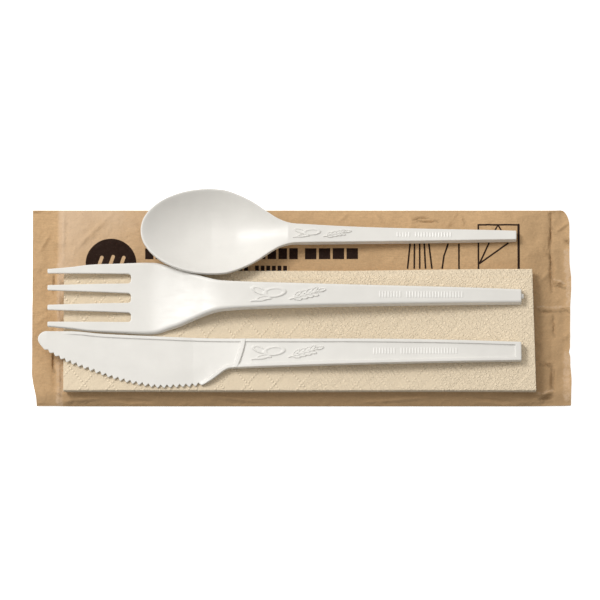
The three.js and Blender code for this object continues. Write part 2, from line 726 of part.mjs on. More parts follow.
const forkEndX = napkinRight - FORK_END_INSET;
const forkEndY = napkinFront + FORK_FROM_FRONT;
const knifeEndX = napkinRight - KNIFE_END_INSET;
const spoonEndX = napkinRight - SPOON_END_INSET;

// The line that a laid piece's middle follows, and the fork's station at a place along X
const slopeOf = (turn) => Math.tan(THREE.MathUtils.degToRad(turn));
const forkAxis = (x) => forkEndY + (x - forkEndX) * slopeOf(FORK_TURN);
const forkStation = (x) => clamp(x - forkEndX + FORK_LENGTH, 0, FORK_LENGTH);
const forkSide = (x) => forkShape.half(forkStation(x)) + FLANGE_DRAFT * forkShape.flange(forkStation(x));

// The knife lies in front of the fork, clear of its widest reach
const beside = spaced(forkEndX - FORK_LENGTH + 0.5, forkEndX, 80);
const knifeReach = (x) => {
  const station = clamp(x - knifeEndX + KNIFE_LENGTH, 0, KNIFE_LENGTH);
  return forkAxis(x) - forkSide(x) - knifeShape.upper(station) - (x - knifeEndX) * slopeOf(KNIFE_TURN);
};
const knifeEndY = Math.min(...beside.map(knifeReach)) - SIDE_GAP;

// The spoon lies behind the fork and leans over its shoulder as far as the bowl's flank clears it
const bowlSlope = (BOWL_DEPTH * BOWL_POWER) / (BOWL_WIDTH / 2);
const rimThickness = SPOON_WEB * Math.hypot(1, bowlSlope);
const lean = Math.sin(THREE.MathUtils.degToRad(SPOON_ROLL));
const bowlPlaces = spaced(spoonEndX - SPOON_LENGTH + 0.5, spoonEndX - SPOON_LENGTH + BOWL_LENGTH, 60);
const spoonReach = (x) => {
  const station = x - spoonEndX + SPOON_LENGTH;
  const half = spoonShape.half(station);
  const rimUnder = sleeveTop + spoonShape.top(station) + half * lean - rimThickness;
  const shoulder = napkinTop + forkShape.top(forkStation(x)) - SHOULDER_ROUND;
  const overlap = Math.max(-SIDE_GAP, (rimUnder - shoulder) / bowlSlope);
  const axis = forkAxis(x) + forkShape.half(forkStation(x)) + half - overlap;
  return axis - (x - spoonEndX) * slopeOf(SPOON_TURN);
};
const spoonEndY = Math.max(...bowlPlaces.map(spoonReach));

const plastic = (name, geometry) => piece(name, geometry, PLASTIC);
const forkMesh = plastic("fork", fork(forkShape));
const knifeMesh = plastic("knife", knife(knifeShape));
const spoonMesh = plastic("spoon", spoon(spoonShape));
spoonMesh.rotation.x = -THREE.MathUtils.degToRad(SPOON_ROLL);

const set = new THREE.Group();
set.add(piece("kraft_sleeve", sleeve(), KRAFT));
set.add(piece("napkin", napkin(), TISSUE));
set.add(laid(forkMesh, forkEndX, forkEndY, FORK_LENGTH, FORK_TURN, napkinTop));
set.add(laid(knifeMesh, knifeEndX, knifeEndY, KNIFE_LENGTH, KNIFE_TURN, napkinTop));
set.add(laid(spoonMesh, spoonEndX, spoonEndY, SPOON_LENGTH, SPOON_TURN, sleeveTop));

export default set;
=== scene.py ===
import bpy
import numpy as np
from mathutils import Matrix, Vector


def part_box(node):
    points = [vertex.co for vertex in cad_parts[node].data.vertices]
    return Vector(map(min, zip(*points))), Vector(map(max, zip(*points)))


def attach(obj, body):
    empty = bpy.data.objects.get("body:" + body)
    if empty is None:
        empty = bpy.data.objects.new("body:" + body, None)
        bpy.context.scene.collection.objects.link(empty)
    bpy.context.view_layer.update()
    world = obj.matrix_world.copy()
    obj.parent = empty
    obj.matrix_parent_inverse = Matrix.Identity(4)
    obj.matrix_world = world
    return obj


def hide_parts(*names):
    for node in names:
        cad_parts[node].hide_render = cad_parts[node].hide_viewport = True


bl_info = {
    "name": "Disposable Cutlery Pack",
    "version": (1, 0, 0),
    "blender": (4, 5, 0),
    "location": "View3D > Sidebar > Cutlery",
    "description": "Fork, knife and spoon with a folded napkin on a kraft paper sleeve",
    "category": "Add Mesh",
}

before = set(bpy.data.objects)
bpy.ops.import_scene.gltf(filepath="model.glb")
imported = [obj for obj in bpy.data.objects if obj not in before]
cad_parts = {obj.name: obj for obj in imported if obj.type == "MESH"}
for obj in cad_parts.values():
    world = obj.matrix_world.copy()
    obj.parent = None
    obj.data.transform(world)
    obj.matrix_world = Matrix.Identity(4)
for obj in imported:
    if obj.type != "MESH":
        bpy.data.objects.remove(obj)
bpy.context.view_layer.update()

MM = 0.001


def node_box(node):
    """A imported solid's lowest and highest corner, in millimetres."""
    return np.array([list(corner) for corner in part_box(node)]) / MM


SLEEVE_BOX = node_box("kraft_sleeve")
NAPKIN_BOX = node_box("napkin")

# Sleeve
SEAL_LENGTH = 7.1
SEAL_THICKNESS = 0.45
SEAL_UNDERSIDE = 0.7
LEFT_RAMP = 8
RIGHT_RAMP = 15
CORNER_DEPTH = 3
CORNER_WIDTH = 6
SLEEVE_NIP = 1.7
NIP_REACH = 12
SLEEVE_SQUARENESS = 8
SEAM_WIDTH = 13
SEAM_RISE = 0.25
# Only in the finished sleeve: the front strip's width, drop and bow, the room under the box's top
# for creases, the end bands' waves and curl, and the mesh's steps
FRONT_SLOPE = 5.4
FRONT_DROP = 0.65
FRONT_BOW = 1.6
CREASE_ROOM = 0.4
LEFT_RAMP_START = 9
LEFT_WAVE = 0.15
CURL_HEIGHT = 1.4
LEFT_FINE_ZONE = 13
RIGHT_FINE_ZONE = 24
BORDER_ZONE = 1.2
BORDER_STEP = 0.15
FINE_STEP = 0.35
COARSE_STEP = 0.63

# Napkin
NAPKIN_LENGTH = 162.9
NAPKIN_WIDTH = 41.65
NAPKIN_PASSES = 8
PASS_PITCH = 0.4
PLY = 0.13
FREE_EDGE_STEP = 2.8
NAPKIN_FAN = 1
# Only in the finished napkin: its mesh's step, and how far its free end slants
NAPKIN_GRID = 0.6
NAPKIN_SLANT = 1.1

# Fork, from the tine tips
FORK_LENGTH = 163.8
FORK_TURN = 0.25
TINE_LENGTH = 28.8
TINE_SPREAD = 10.1
FORK_HEAD_LENGTH = 60
FORK_HEAD_WIDTH = 25.1
FORK_NECK_WIDTH = 10.4
FORK_END_WIDTH = 4.75
SLOT_WIDTH = 3.3
SLOT_OFFSET = 6.84
SLOT_TIP_OFFSET = 6.45
MIDDLE_SLOT_TIP = 5.1
OUTER_SLOT_TIP = 4.1
SLOT_CORNER = 1
FORK_WEB = 1.25
TINE_TIP_WEB = 0.9
TINE_LIP = 0.25
TINE_TIP_LIFT = 2.1
FORK_ARCH = 4.9
FORK_DISH = 0.45
SHOULDER_ROUND = 1.2
HANDLE_ROUND = 0.8
GATE_RADIUS = 0.55
GATE_LENGTH = 0.85

# Knife, from the blade tip
KNIFE_LENGTH = 166.9
KNIFE_END_WALL = 1.9
KNIFE_TURN = 0.41
BLADE_LENGTH = 65.3
BLADE_BELLY = 11.65
BLADE_WEB = 1.1
CUTTING_EDGE = 0.5
BEVEL_WIDTH = 7
TOP_BEVEL = 0.6
KNIFE_HANDLE_WIDTH = 10.1
KNIFE_END_WIDTH = 6.5
RIM_WIDTH = 1
RIM_HEIGHT = 0.55
KNIFE_ARCH = 1.8
TIP_RADIUS = 3
TOOTH_PITCH = 2.19
TOOTH_DEPTH = 1.05
NOTCH_SHARE = 0.85
FIRST_TOOTH = 3.2
TOOTHED_SHARE = 0.85
CROSS_RIB_PLACE = 4.6
CROSS_RIB_WIDTH = 1.3
CROSS_RIB_SLANT = 1.5

# Spoon, from the bowl's tip
SPOON_LENGTH = 130.1
SPOON_ROLL = 4
SPOON_TURN = 0.2
BOWL_LENGTH = 51
BOWL_WIDTH = 30.7
BOWL_DEPTH = 7.9
BOWL_WIDEST = 24.5
BOWL_TIP_RISE = 1.4
BOWL_WALL = 0.35
BOWL_POWER = 2.2
SPOON_WEB = 1
SPOON_FLANGE = 2.6
SPOON_NECK_WIDTH = 6.9
SPOON_END_WIDTH = 3.15
SPOON_END_LIFT = 0.15
RIM_LAND = 0.55

# Shared by the three moulded handles
FLANGE = 3
FLANGE_WALL = 0.9
FLANGE_DRAFT = 0.1
END_WALL = 1.3
END_WALL_DRAFT = 0.3
END_WALL_LIFT = 0.05
COVE = 0.45
CHAMFER = 0.12
SLOT_FILLET = 0.3
TIP_CORNER = 0.4
END_CORNER = 0.35
CORNER_ROWS = 6
CROSS_RIB_RISE = 0.2

# Relief on the handles: a sprig's start, length and width, and the ribs' start, the number in
# each group and their height. Ribs rise by a share of the sprig's height.
FORK_SPRIG, FORK_RIBS = (70, 26.4, 5.8), (114.4, (8, 20), 2.1)
KNIFE_SPRIG, KNIFE_RIBS = (73.4, 25.4, 5.4), (115.6, (8, 20), 2.1)
SPOON_SPRIG, SPOON_RIBS = (52.6, 20.4, 3.6), (88.4, (5, 13), 1.7)
RIB_SHARE = 0.32
RIB_GROUP_GAP = 1.4


# Curves and grids


def lerp(a, b, share):
    """From a at share 0 to b at share 1."""
    return a + (b - a) * share


def smooth(x, low, high):
    """Smoothstep: 0 below low, 1 above high, level at both ends."""
    t = np.clip((x - low) / (high - low), 0, 1)
    return t * t * (3 - 2 * t)


def corner(distance, radius):
    """How far a round corner cuts in at a distance from the end: r - sqrt(r^2 - (r - d)^2)."""
    into = np.clip(radius - distance, 0, radius)
    return radius - np.sqrt(np.maximum(radius**2 - into**2, 0))


def through(*knots):
    """Monotone cubic through (x, y) knots, level past its ends.

    A knot's slope is the harmonic mean of the slopes on both sides, or 0 where they turn.
    """
    x, y = np.array(knots, float).T
    rise = np.diff(y) / np.diff(x)
    before, after = rise[:-1], rise[1:]
    turning = before * after <= 0
    middle = np.where(turning, 0, 2 * before * after / np.where(turning, 1, before + after))
    slope = np.concatenate([rise[:1], middle, rise[-1:]])

    def value(s):
        s = np.clip(s, x[0], x[-1])
        i = np.clip(np.searchsorted(x, s, side="right") - 1, 0, len(x) - 2)
        width = x[i + 1] - x[i]
        t = (s - x[i]) / width
        level = y[i] * (1 + 2 * t) * (1 - t) ** 2 + y[i + 1] * (3 - 2 * t) * t**2
        return level + (slope[i] * t * (1 - t) ** 2 + slope[i + 1] * (t - 1) * t**2) * width

    return value


def eased(curve, reach):
    """The curve averaged over a reach to both sides, which rounds off its changes of bend."""
    weights = {-1: 1, -0.5: 2, 0: 3, 0.5: 2, 1: 1}

    def value(s):
        return sum(w * curve(s + k * reach) for k, w in weights.items()) / sum(weights.values())

    return value


def distinct(values, least=0.012):
    """The values sorted, each further than the least from the one before."""
    every = np.sort(values)
    return every[np.concatenate([[True], np.diff(every) > least])]


def stations(*stretches):
    """Sorted stations from (start, end, step) stretches, without near doubles."""
    parts = [np.linspace(a, b, max(2, int(round((b - a) / step)) + 1)) for a, b, step in stretches]
    return distinct(np.concatenate(parts))


def round_steps(radius, count=CORNER_ROWS):
    """Distances from an end that step round a corner of that radius by equal angles."""
    return radius * (1 - np.cos(np.linspace(0, np.pi / 2, count)))


def columned(values):
    """A value for each row, as a column that spreads across the row."""
    return np.asarray(values)[:, None]


def shares_across(gap, offsets, columns):
    """Shares of the way across each row: at the offsets from both borders and even in between.

    The offsets are in millimetres, and shrink with the gap in rows less than 7 mm across.
    """
    near = offsets * columned(np.minimum(1, gap / 7)) / columned(gap)
    interior = lerp(near[:, -1:], 1 - near[:, -1:], np.linspace(0, 1, columns)[1:-1])
    return np.concatenate([near, interior, 1 - near[:, ::-1]], 1)


def plate_faces(present, tip_closed=False):
    """Quads of a closed plate between a face grid and a back grid, for the cells that are present.

    The face looks up and the back down, and a wall stands on every border between a present and
    an absent cell. A tip that closes on itself gets no wall across its first row.
    """
    rows, columns = present.shape[0] + 1, present.shape[1] + 1
    at = np.arange(rows * columns).reshape(rows, columns)
    below = at + rows * columns
    i, j = np.nonzero(present)
    a, b, c, d = at[i, j], at[i + 1, j], at[i + 1, j + 1], at[i, j + 1]
    quads = [np.stack([a, b, c, d], 1), np.stack([a, d, c, b], 1) + rows * columns]
    ring = np.pad(present, 1)
    borders = {
        (0, -1): ((0, 0), (1, 0)),
        (0, 1): ((1, 1), (0, 1)),
        (-1, 0): ((0, 1), (0, 0)),
        (1, 0): ((1, 0), (1, 1)),
    }
    for (di, dj), ((i0, j0), (i1, j1)) in borders.items():
        bare = present & ~ring[1 + di : rows + di, 1 + dj : columns + dj]
        if tip_closed and di == -1:
            bare[0] = False
        i, j = np.nonzero(bare)
        start, end = (i + i0, j + j0), (i + i1, j + j1)
        quads.append(np.stack([at[start], below[start], below[end], at[end]], 1))
    return np.concatenate(quads)


def closed_plate(face, back, present=None, tip_closed=False):
    """Points and quads of the closed plate between two grids of points, whole unless told."""
    if present is None:
        present = np.ones((face.shape[0] - 1, face.shape[1] - 1), bool)
    points = np.concatenate([face.reshape(-1, 3), back.reshape(-1, 3)])
    return points, plate_faces(present, tip_closed)


def piece(name, points, quads, material, sharp=38):
    """A mesh object from points in millimetres: welded, without collapsed faces, smooth shaded."""
    keys = np.round(points / 2e-4).astype(np.int64)
    _, first, where = np.unique(keys, axis=0, return_index=True, return_inverse=True)
    quads = where.ravel()[quads]
    step = quads != np.roll(quads, 1, axis=1)
    whole = quads[step.all(1)]
    folded = quads[step.sum(1) == 3]
    corners = folded[folded != np.roll(folded, 1, axis=1)].reshape(-1, 3)
    used = np.unique(np.concatenate([whole.ravel(), corners.ravel()]))
    renumber = np.zeros(len(first), np.int64)
    renumber[used] = np.arange(len(used))
    mesh = bpy.data.meshes.new(name)
    faces = renumber[whole].tolist() + renumber[corners].tolist()
    mesh.from_pydata((points[first[used]] * MM).tolist(), [], faces)
    mesh.validate()
    mesh.shade_smooth()
    mesh.set_sharp_from_angle(angle=np.radians(sharp))
    mesh.materials.append(material)
    made = bpy.data.objects.new(name, mesh)
    bpy.context.collection.objects.link(made)
    return made


def stood_for(made, node):
    """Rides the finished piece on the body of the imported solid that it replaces."""
    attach(made, "root")
    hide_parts(node)


def seated(points, node, turn=0.0, roll=0.0):
    """Turns a piece about X and then Z, and moves its box to the node's: same middle, same foot."""
    r, t = np.radians(-roll), np.radians(turn)
    about_x = np.array([[1, 0, 0], [0, np.cos(r), -np.sin(r)], [0, np.sin(r), np.cos(r)]])
    about_z = np.array([[np.cos(t), -np.sin(t), 0], [np.sin(t), np.cos(t), 0], [0, 0, 1]])
    laid = points @ (about_z @ about_x).T
    low, high = laid.min(0), laid.max(0)
    box = node_box(node)
    shift = box.mean(0) - (low + high) / 2
    shift[2] = box[0, 2] - low[2]
    return laid + shift


# Moulded plastic


def inward(border, side, tip_closed):
    """Unit vectors square to a border curve, pointing to the piece's middle.

    The rows round a blunt end's corners take the direction of the last straight row.
    """
    along = np.gradient(border, axis=0)
    along /= np.linalg.norm(along, axis=1, keepdims=True)
    into = np.stack([-along[:, 1], along[:, 0]], 1) * side
    into[-CORNER_ROWS:] = into[-CORNER_ROWS - 2]
    if tip_closed:
        into[0] = (1, 0)
    else:
        into[:CORNER_ROWS] = into[CORNER_ROWS + 1]
    return into


def moulding(
    low, high, shares, top, under, foot, edge, wall, draft, tip_closed=False, nudge=0.0, inset=0.0
):
    """Face and back grids of a moulded bar between two border curves in plan.

    Each row of the face climbs from the flange's foot up its outer side, rounds the top edge by a
    quarter circle of radius `edge`, crosses the top at `shares` of the way, and goes down again.
    The back starts under the foot, climbs the flange's inner side on a smoothstep, and crosses
    the underside. `top` and `under` are heights as functions of x and y, and `foot` of the side.
    """
    angles = np.radians([0, 24, 48, 70])
    climb = np.array([0, 0.3, 0.6, 0.85])
    edge, wall, draft = columned(edge), columned(wall), columned(draft)
    faces, backs, rims = [], [], []

    def strip(places, heights):
        return np.dstack([np.concatenate(places, 1), np.concatenate(heights, 1)])

    for side, border in ((1, low), (-1, high)):
        into = inward(border, side, tip_closed)
        level = columned(foot(side))
        cut = columned(np.zeros(len(border)) + inset) if side > 0 else 0

        def out(offset, cut=cut):
            return border[:, None, :] + into[:, None, :] * (offset + cut)[:, :, None]

        over = out(edge * (1 - np.cos(angles)))
        over_z = top(over[..., 0], over[..., 1]) - edge * (1 - np.sin(angles))
        flare = out(np.concatenate([-draft, -draft * 0.5], 1))
        flare_z = np.concatenate([level + CHAMFER, lerp(level + CHAMFER, over_z[:, :1], 0.5)], 1)
        faces.append(strip((flare, over), (flare_z, over_z)))
        sole = out(np.concatenate([CHAMFER - draft, wall * 0.85], 1))
        inner = out(wall + COVE * climb)
        inner_z = lerp(level, under(inner[..., 0], inner[..., 1]), smooth(climb, 0, 1))
        sole_z = np.repeat(level, 2, axis=1)
        backs.append(strip((sole, inner), (sole_z, inner_z)))
        rims.append((out(edge, 0), out(wall + COVE, 0)))

    def crossing(start, end, share, height):
        middle = start + (end - start) * share[:, :, None] + nudge
        return np.dstack([middle, height(middle[..., 0], middle[..., 1])])

    face_share, back_share = shares
    across = crossing(rims[0][0], rims[1][0], face_share, top)
    beneath = crossing(rims[0][1], rims[1][1], back_share, under)
    face = np.concatenate([faces[0], across, faces[1][:, ::-1]], 1)
    back = np.concatenate([backs[0], beneath, backs[1][:, ::-1]], 1)
    return face, back


def leaf(x, y, middle, sizes, degrees):
    """Relief of one leaf, 1 on its border and 0.45 inside: an ellipse with those half sizes."""
    u, v = turned(x - middle[0], y - middle[1], degrees)
    share = np.hypot(u / sizes[0], v / sizes[1])
    border = 1 - smooth(np.abs(share - 0.84), 0.1, 0.26)
    return np.maximum(border, 0.45 * (1 - smooth(share, 0.8, 1)))


def stroke(x, y, start, end, half_width):
    """Relief of a round bar between two points, from the distance to their segment."""
    dx, dy = end[0] - start[0], end[1] - start[1]
    share = np.clip(((x - start[0]) * dx + (y - start[1]) * dy) / (dx * dx + dy * dy), 0, 1)
    away = np.hypot(x - start[0] - share * dx, y - start[1] - share * dy)
    return 1 - smooth(away, half_width * 0.4, half_width * 1.3)


# Leaves of the first group and grains of the ear: middle, half sizes and turn in degrees, on a
# field 26 long and 6 wide
LEAVES = (
    ((3.2, 1.1), (2.9, 1.15), -24),
    ((8.3, 0.5), (4.0, 1.75), 6),
    ((4.4, -1.7), (2.6, 0.85), 14),
)
GRAINS = tuple(
    ((16.2 + 1.9 * k, -0.9 + 0.5 * k + side), (1.5, 0.62), 15 + 24 * np.sign(side))
    for k in range(4)
    for side in (0.85, -0.85)
) + (((24.3, 1.35), (1.6, 0.62), 15),)
STEMS = (((0.4, -2.6), (7.2, -1.7), 0.32), ((13.6, -1.9), (23.4, 1.1), 0.3))


def motif(x, y, start, length, width):
    """Relief of the plain leaves and the ear of grain, 0 to 1 high, scaled to length and width."""
    u, v = (x - start) * 26 / length, y * 6 / width
    height = np.zeros(np.shape(u + v))
    for middle, sizes, degrees in (*LEAVES, *GRAINS):
        height = np.maximum(height, leaf(u, v, middle, sizes, degrees))
    for first, last, half_width in STEMS:
        height = np.maximum(height, stroke(u, v, first, last, half_width))
    return height


def ribs(x, y, start, groups, tall):
    """Relief of plain upright ribs 1 mm apart, in groups of so many ribs with a gap between."""
    height = np.zeros(np.shape(x + y))
    for count in groups:
        across = np.abs((x - start) % 1 - 0.5)
        inside = (x > start) & (x < start + count)
        height = np.maximum(height, inside * smooth(0.5 - across, 0.18, 0.36))
        start = start + count + RIB_GROUP_GAP
    return height * (1 - smooth(np.abs(y), tall / 2 - 0.15, tall / 2 + 0.15))


def handle_marks(x, y, sprig, ribbed):
    """Relief of a handle's sprig and of its lower ribs, 0 to 1 high."""
    return np.maximum(motif(x, y, *sprig), RIB_SHARE * ribs(x, y, *ribbed))


def end_wall(s, length, wall=END_WALL):
    """1 inside the wall at the handle's end and 0 before it."""
    return smooth(s, length - wall - END_WALL_DRAFT, length - wall)


def fork_outline():
    """Half the fork's width: along its tapering tines, round shoulders and narrowing handle."""
    head = FORK_HEAD_LENGTH

    def width(share):
        return lerp(FORK_NECK_WIDTH, FORK_HEAD_WIDTH, share) / 2

    return eased(
        through(
            (0, TINE_SPREAD),
            (head * 0.14, lerp(TINE_SPREAD, width(1), 0.3)),
            (head * 0.23, lerp(TINE_SPREAD, width(1), 0.6)),
            (head * 0.45, lerp(TINE_SPREAD, width(1), 0.88)),
            (head * 0.56, width(1)),
            (head * 0.61, width(0.995)),
            (head * 0.65, width(0.945)),
            (head * 0.69, width(0.83)),
            (head * 0.75, width(0.69)),
            (head * 0.81, width(0.495)),
            (head * 0.88, width(0.273)),
            (head * 0.94, width(0.11)),
            (head, width(0)),
            (head * 1.2, FORK_NECK_WIDTH * 0.43),
            (FORK_LENGTH, FORK_END_WIDTH / 2),
        ),
        1.6,
    )


def fork_foot_line(arch):
    """Height of the fork's foot: lifted tips, a head that lies down, and an arched neck."""
    head = FORK_HEAD_LENGTH
    return eased(
        through(
            (0, TINE_TIP_LIFT),
            (head * 0.23, TINE_TIP_LIFT * 0.7),
            (head * 0.48, TINE_TIP_LIFT * 0.28),
            (head * 0.58, FORK_DISH),
            (head * 0.68, FORK_DISH + arch * 0.04),
            (head * 0.77, arch * 0.27),
            (head * 0.85, arch * 0.51),
            (head * 0.93, arch * 0.8),
            (head * 1.02, arch * 0.95),
            (head * 1.17, arch),
            (lerp(head, FORK_LENGTH, 0.75), arch * 0.47),
            (FORK_LENGTH, 0),
        ),
        2.5,
    )


# The slots between the tines: the side of the middle that each is on, and its width at the tips
SLOTS = ((-1, OUTER_SLOT_TIP), (0, MIDDLE_SLOT_TIP), (1, OUTER_SLOT_TIP))


def slot_middle(s, side):
    """Where a slot's middle line runs."""
    return side * lerp(SLOT_TIP_OFFSET, SLOT_OFFSET, np.clip(s / TINE_LENGTH, 0, 1))


def slot_half(s, tip):
    """Half a slot's width: tapering from the tips, round at its root, flared round the tips."""
    root = SLOT_WIDTH / 2
    straight = lerp(tip / 2, root, np.clip(s / TINE_LENGTH, 0, 1))
    return straight - corner(TINE_LENGTH - s, SLOT_CORNER) + corner(s, TIP_CORNER)


def slot_distance(x, y):
    """Distance out of the nearest slot, taken as a box with round corners at its root."""
    away = np.full(np.shape(x + y), 99.0)
    for side, tip in SLOTS:
        straight = lerp(tip / 2, SLOT_WIDTH / 2, np.clip(x / TINE_LENGTH, 0, 1))
        qx = x - TINE_LENGTH + SLOT_CORNER
        qy = np.abs(y - slot_middle(x, side)) - straight + SLOT_CORNER - corner(x, TIP_CORNER)
        outside = np.hypot(np.maximum(qx, 0), np.maximum(qy, 0))
        away = np.minimum(away, outside + np.minimum(np.maximum(qx, qy), 0) - SLOT_CORNER)
    return away


def slot_fillets(x, y):
    """How far the round edges of the slots and the tips cut in."""
    tips = corner(x, SLOT_FILLET)
    return np.maximum(corner(np.maximum(slot_distance(x, y), 0), SLOT_FILLET), tips)


def fork_columns(s, reach):
    """Where the face's columns cross each row, the cells that lie in slots, and the root's row.

    Across the head the columns follow the slots, and along the handle they spread evenly.
    """
    tine_shares = np.array([0, 0.02, 0.05, 0.09, 0.14, 0.3, 0.5, 0.7, 0.86, 0.91, 0.95, 0.98])
    slot_shares = np.array([0, 0.33, 0.67])
    borders = [-reach]
    for side, tip in SLOTS:
        middle, half = slot_middle(s, side), slot_half(s, tip)
        borders += [middle - half, middle + half]
    borders.append(reach)
    lines, slot_cells = [], []
    for band, (a, b) in enumerate(zip(borders, borders[1:])):
        is_slot = band % 2 == 1
        inner = slot_shares if is_slot else tine_shares
        lines.append(columned(a) + columned(b - a) * inner)
        slot_cells += [is_slot] * len(inner)
    lines.append(columned(borders[-1]))
    y = np.concatenate(lines, 1)
    root = int(np.argmin(np.abs(s - TINE_LENGTH)))
    root_share = y[root] / reach[root]
    even = np.linspace(-1, 1, y.shape[1])
    spread = lerp(root_share, even, columned(smooth(s, TINE_LENGTH + 2, TINE_LENGTH + 20)))
    y = np.where(columned(s > TINE_LENGTH + 1e-6), columned(reach) * spread, y)
    return y, slot_cells, root


def fork_back_columns(s, y, reach, narrow):
    """The columns of the underside: upright under the slots' borders, and drawn in outside them."""
    half = slot_half(np.minimum(s, TINE_LENGTH), OUTER_SLOT_TIP)
    slot_reach = slot_middle(s, 1) + half + 0.1
    kept_share = lerp(0.99, 0.7, smooth(s, TINE_LENGTH, TINE_LENGTH + 15))
    keep, narrow = columned(np.minimum(slot_reach, narrow * kept_share)), columned(narrow)
    outer = np.sign(y) * lerp(keep, narrow, (np.abs(y) - keep) / (columned(reach) - keep))
    return np.where(np.abs(y) <= keep, y, outer)


def fork_mesh(material, relief):
    """The fork: a flat plate of four tines, a round shouldered head and a channel handle."""
    head = FORK_HEAD_LENGTH
    arch = FORK_ARCH - relief
    outline, foot_line = fork_outline(), fork_foot_line(arch)
    plate = FORK_WEB + TINE_LIP
    flange = through(
        (0, TINE_TIP_WEB + TINE_LIP),
        (TINE_LENGTH, plate),
        (head * 0.58, plate),
        (head * 0.72, lerp(plate, FLANGE, 0.5)),
        (head * 0.9, FLANGE),
    )
    thickness = through((0, TINE_TIP_WEB), (TINE_LENGTH, FORK_WEB))
    rounding = through(
        (head * 0.3, 0.35),
        (head * 0.75, SHOULDER_ROUND),
        (head * 0.95, SHOULDER_ROUND),
        (head * 1.15, HANDLE_ROUND),
    )
    dish = through(
        (TINE_LENGTH * 0.6, 0),
        (head * 0.6, FORK_DISH),
        (head * 0.8, FORK_DISH),
        (head * 1.15, 0),
    )

    def surface(x, y):
        return foot_line(x) + flange(x) - dish(x) * (1 - np.clip(y / outline(x), -1, 1) ** 2)

    def top(x, y):
        marks = handle_marks(x, y, FORK_SPRIG, FORK_RIBS)
        end = corner(FORK_LENGTH - x, END_CORNER)
        return surface(x, y) - slot_fillets(x, y) - end + relief * marks

    def under(x, y):
        web = lerp(thickness(x), FLANGE - END_WALL_LIFT, end_wall(x, FORK_LENGTH))
        return surface(x, y) - web + slot_fillets(x, y)

    root_zone = TINE_LENGTH + round_steps(SLOT_FILLET)
    s = np.concatenate([
        round_steps(TIP_CORNER),
        np.arange(0.7, TINE_LENGTH - SLOT_CORNER, 0.95),
        TINE_LENGTH - SLOT_CORNER + SLOT_CORNER * np.sin(np.linspace(0, np.pi / 2, 8)),
        root_zone[1:],
        stations((30, 69, 0.55), (69.4, 98, 0.17), (99, 114, 1)),
        stations((114.3, 144.2, 0.16), (145, FORK_LENGTH - 2.2, 1)),
        stations((FORK_LENGTH - 1.8, FORK_LENGTH - 1.1, 0.1)),
        (FORK_LENGTH - round_steps(END_CORNER))[::-1],
    ])
    half = outline(s) - corner(s, TIP_CORNER) - corner(FORK_LENGTH - s, END_CORNER)
    edge = rounding(s)
    reach = half - edge
    wall = through((0, 0.3), (TINE_LENGTH, 0.5), (head * 0.75, FLANGE_WALL))(s)
    narrow = half - wall - COVE
    y, slot_cells, root = fork_columns(s, reach)
    y_back = fork_back_columns(s, y, reach, narrow)
    shares = (y / columned(reach) + 1) / 2, (y_back / columned(narrow) + 1) / 2

    face, back = moulding(
        np.stack([s, -half], 1),
        np.stack([s, half], 1),
        shares,
        top,
        under,
        lambda side: foot_line(s) + corner(s, SLOT_FILLET),
        edge,
        wall,
        FLANGE_DRAFT * flange(s),
    )
    present = np.ones((face.shape[0] - 1, face.shape[1] - 1), bool)
    side_columns = (face.shape[1] - y.shape[1]) // 2
    in_slot = np.zeros(present.shape[1], bool)
    in_slot[side_columns : side_columns + len(slot_cells)] = slot_cells
    present[:root, in_slot] = False
    points, quads = closed_plate(face, back, present)

    # The torn stub of the runner on the end wall
    stub, stub_quads = gate_stub(FORK_LENGTH, FLANGE / 2 + 0.2)
    quads = np.concatenate([quads, stub_quads + len(points)])
    points = np.concatenate([points, stub])
    return piece("moulded_fork", seated(points, "fork", FORK_TURN), quads, material)


def gate_stub(end, height, around=14, along=6):
    """A short torn stub: rings along X whose radius and end are ragged by a few sines."""
    turns, runs = np.linspace(0, 2 * np.pi, around + 1), np.linspace(0, 1, along)
    angle, run = np.meshgrid(turns, runs, indexing="ij")
    ragged = 0.16 * np.sin(3 * angle) + 0.1 * np.sin(5 * angle + 1)
    radius = GATE_RADIUS * (1.25 - 0.4 * run + ragged * run) * (1 - 0.9 * smooth(run, 0.8, 1))
    x = end - 0.2 + (GATE_LENGTH + 0.2) * np.minimum(run * (1 + ragged * 0.3), 1)
    points = np.stack([x, radius * np.cos(angle) * 1.5, height + radius * np.sin(angle)], -1)
    points[-1] = points[0]
    at = np.arange(points.shape[0] * along).reshape(points.shape[0], along)
    a, b, c, d = at[:-1, :-1], at[:-1, 1:], at[1:, 1:], at[1:, :-1]
    sides = np.stack([a, b, c, d], -1).reshape(-1, 4)
    points = points.reshape(-1, 3)
    caps = []
    for column, order in ((0, 1), (along - 1, -1)):
        centre = len(points)
        points = np.concatenate([points, points[at[:-1, column]].mean(0)[None]])
        rim, following = at[:-1, column], at[1:, column]
        hub = np.full(len(rim), centre)
        caps.append(np.stack([rim, following, hub, hub], 1)[:, ::order])
    return points, np.concatenate([sides, *caps])


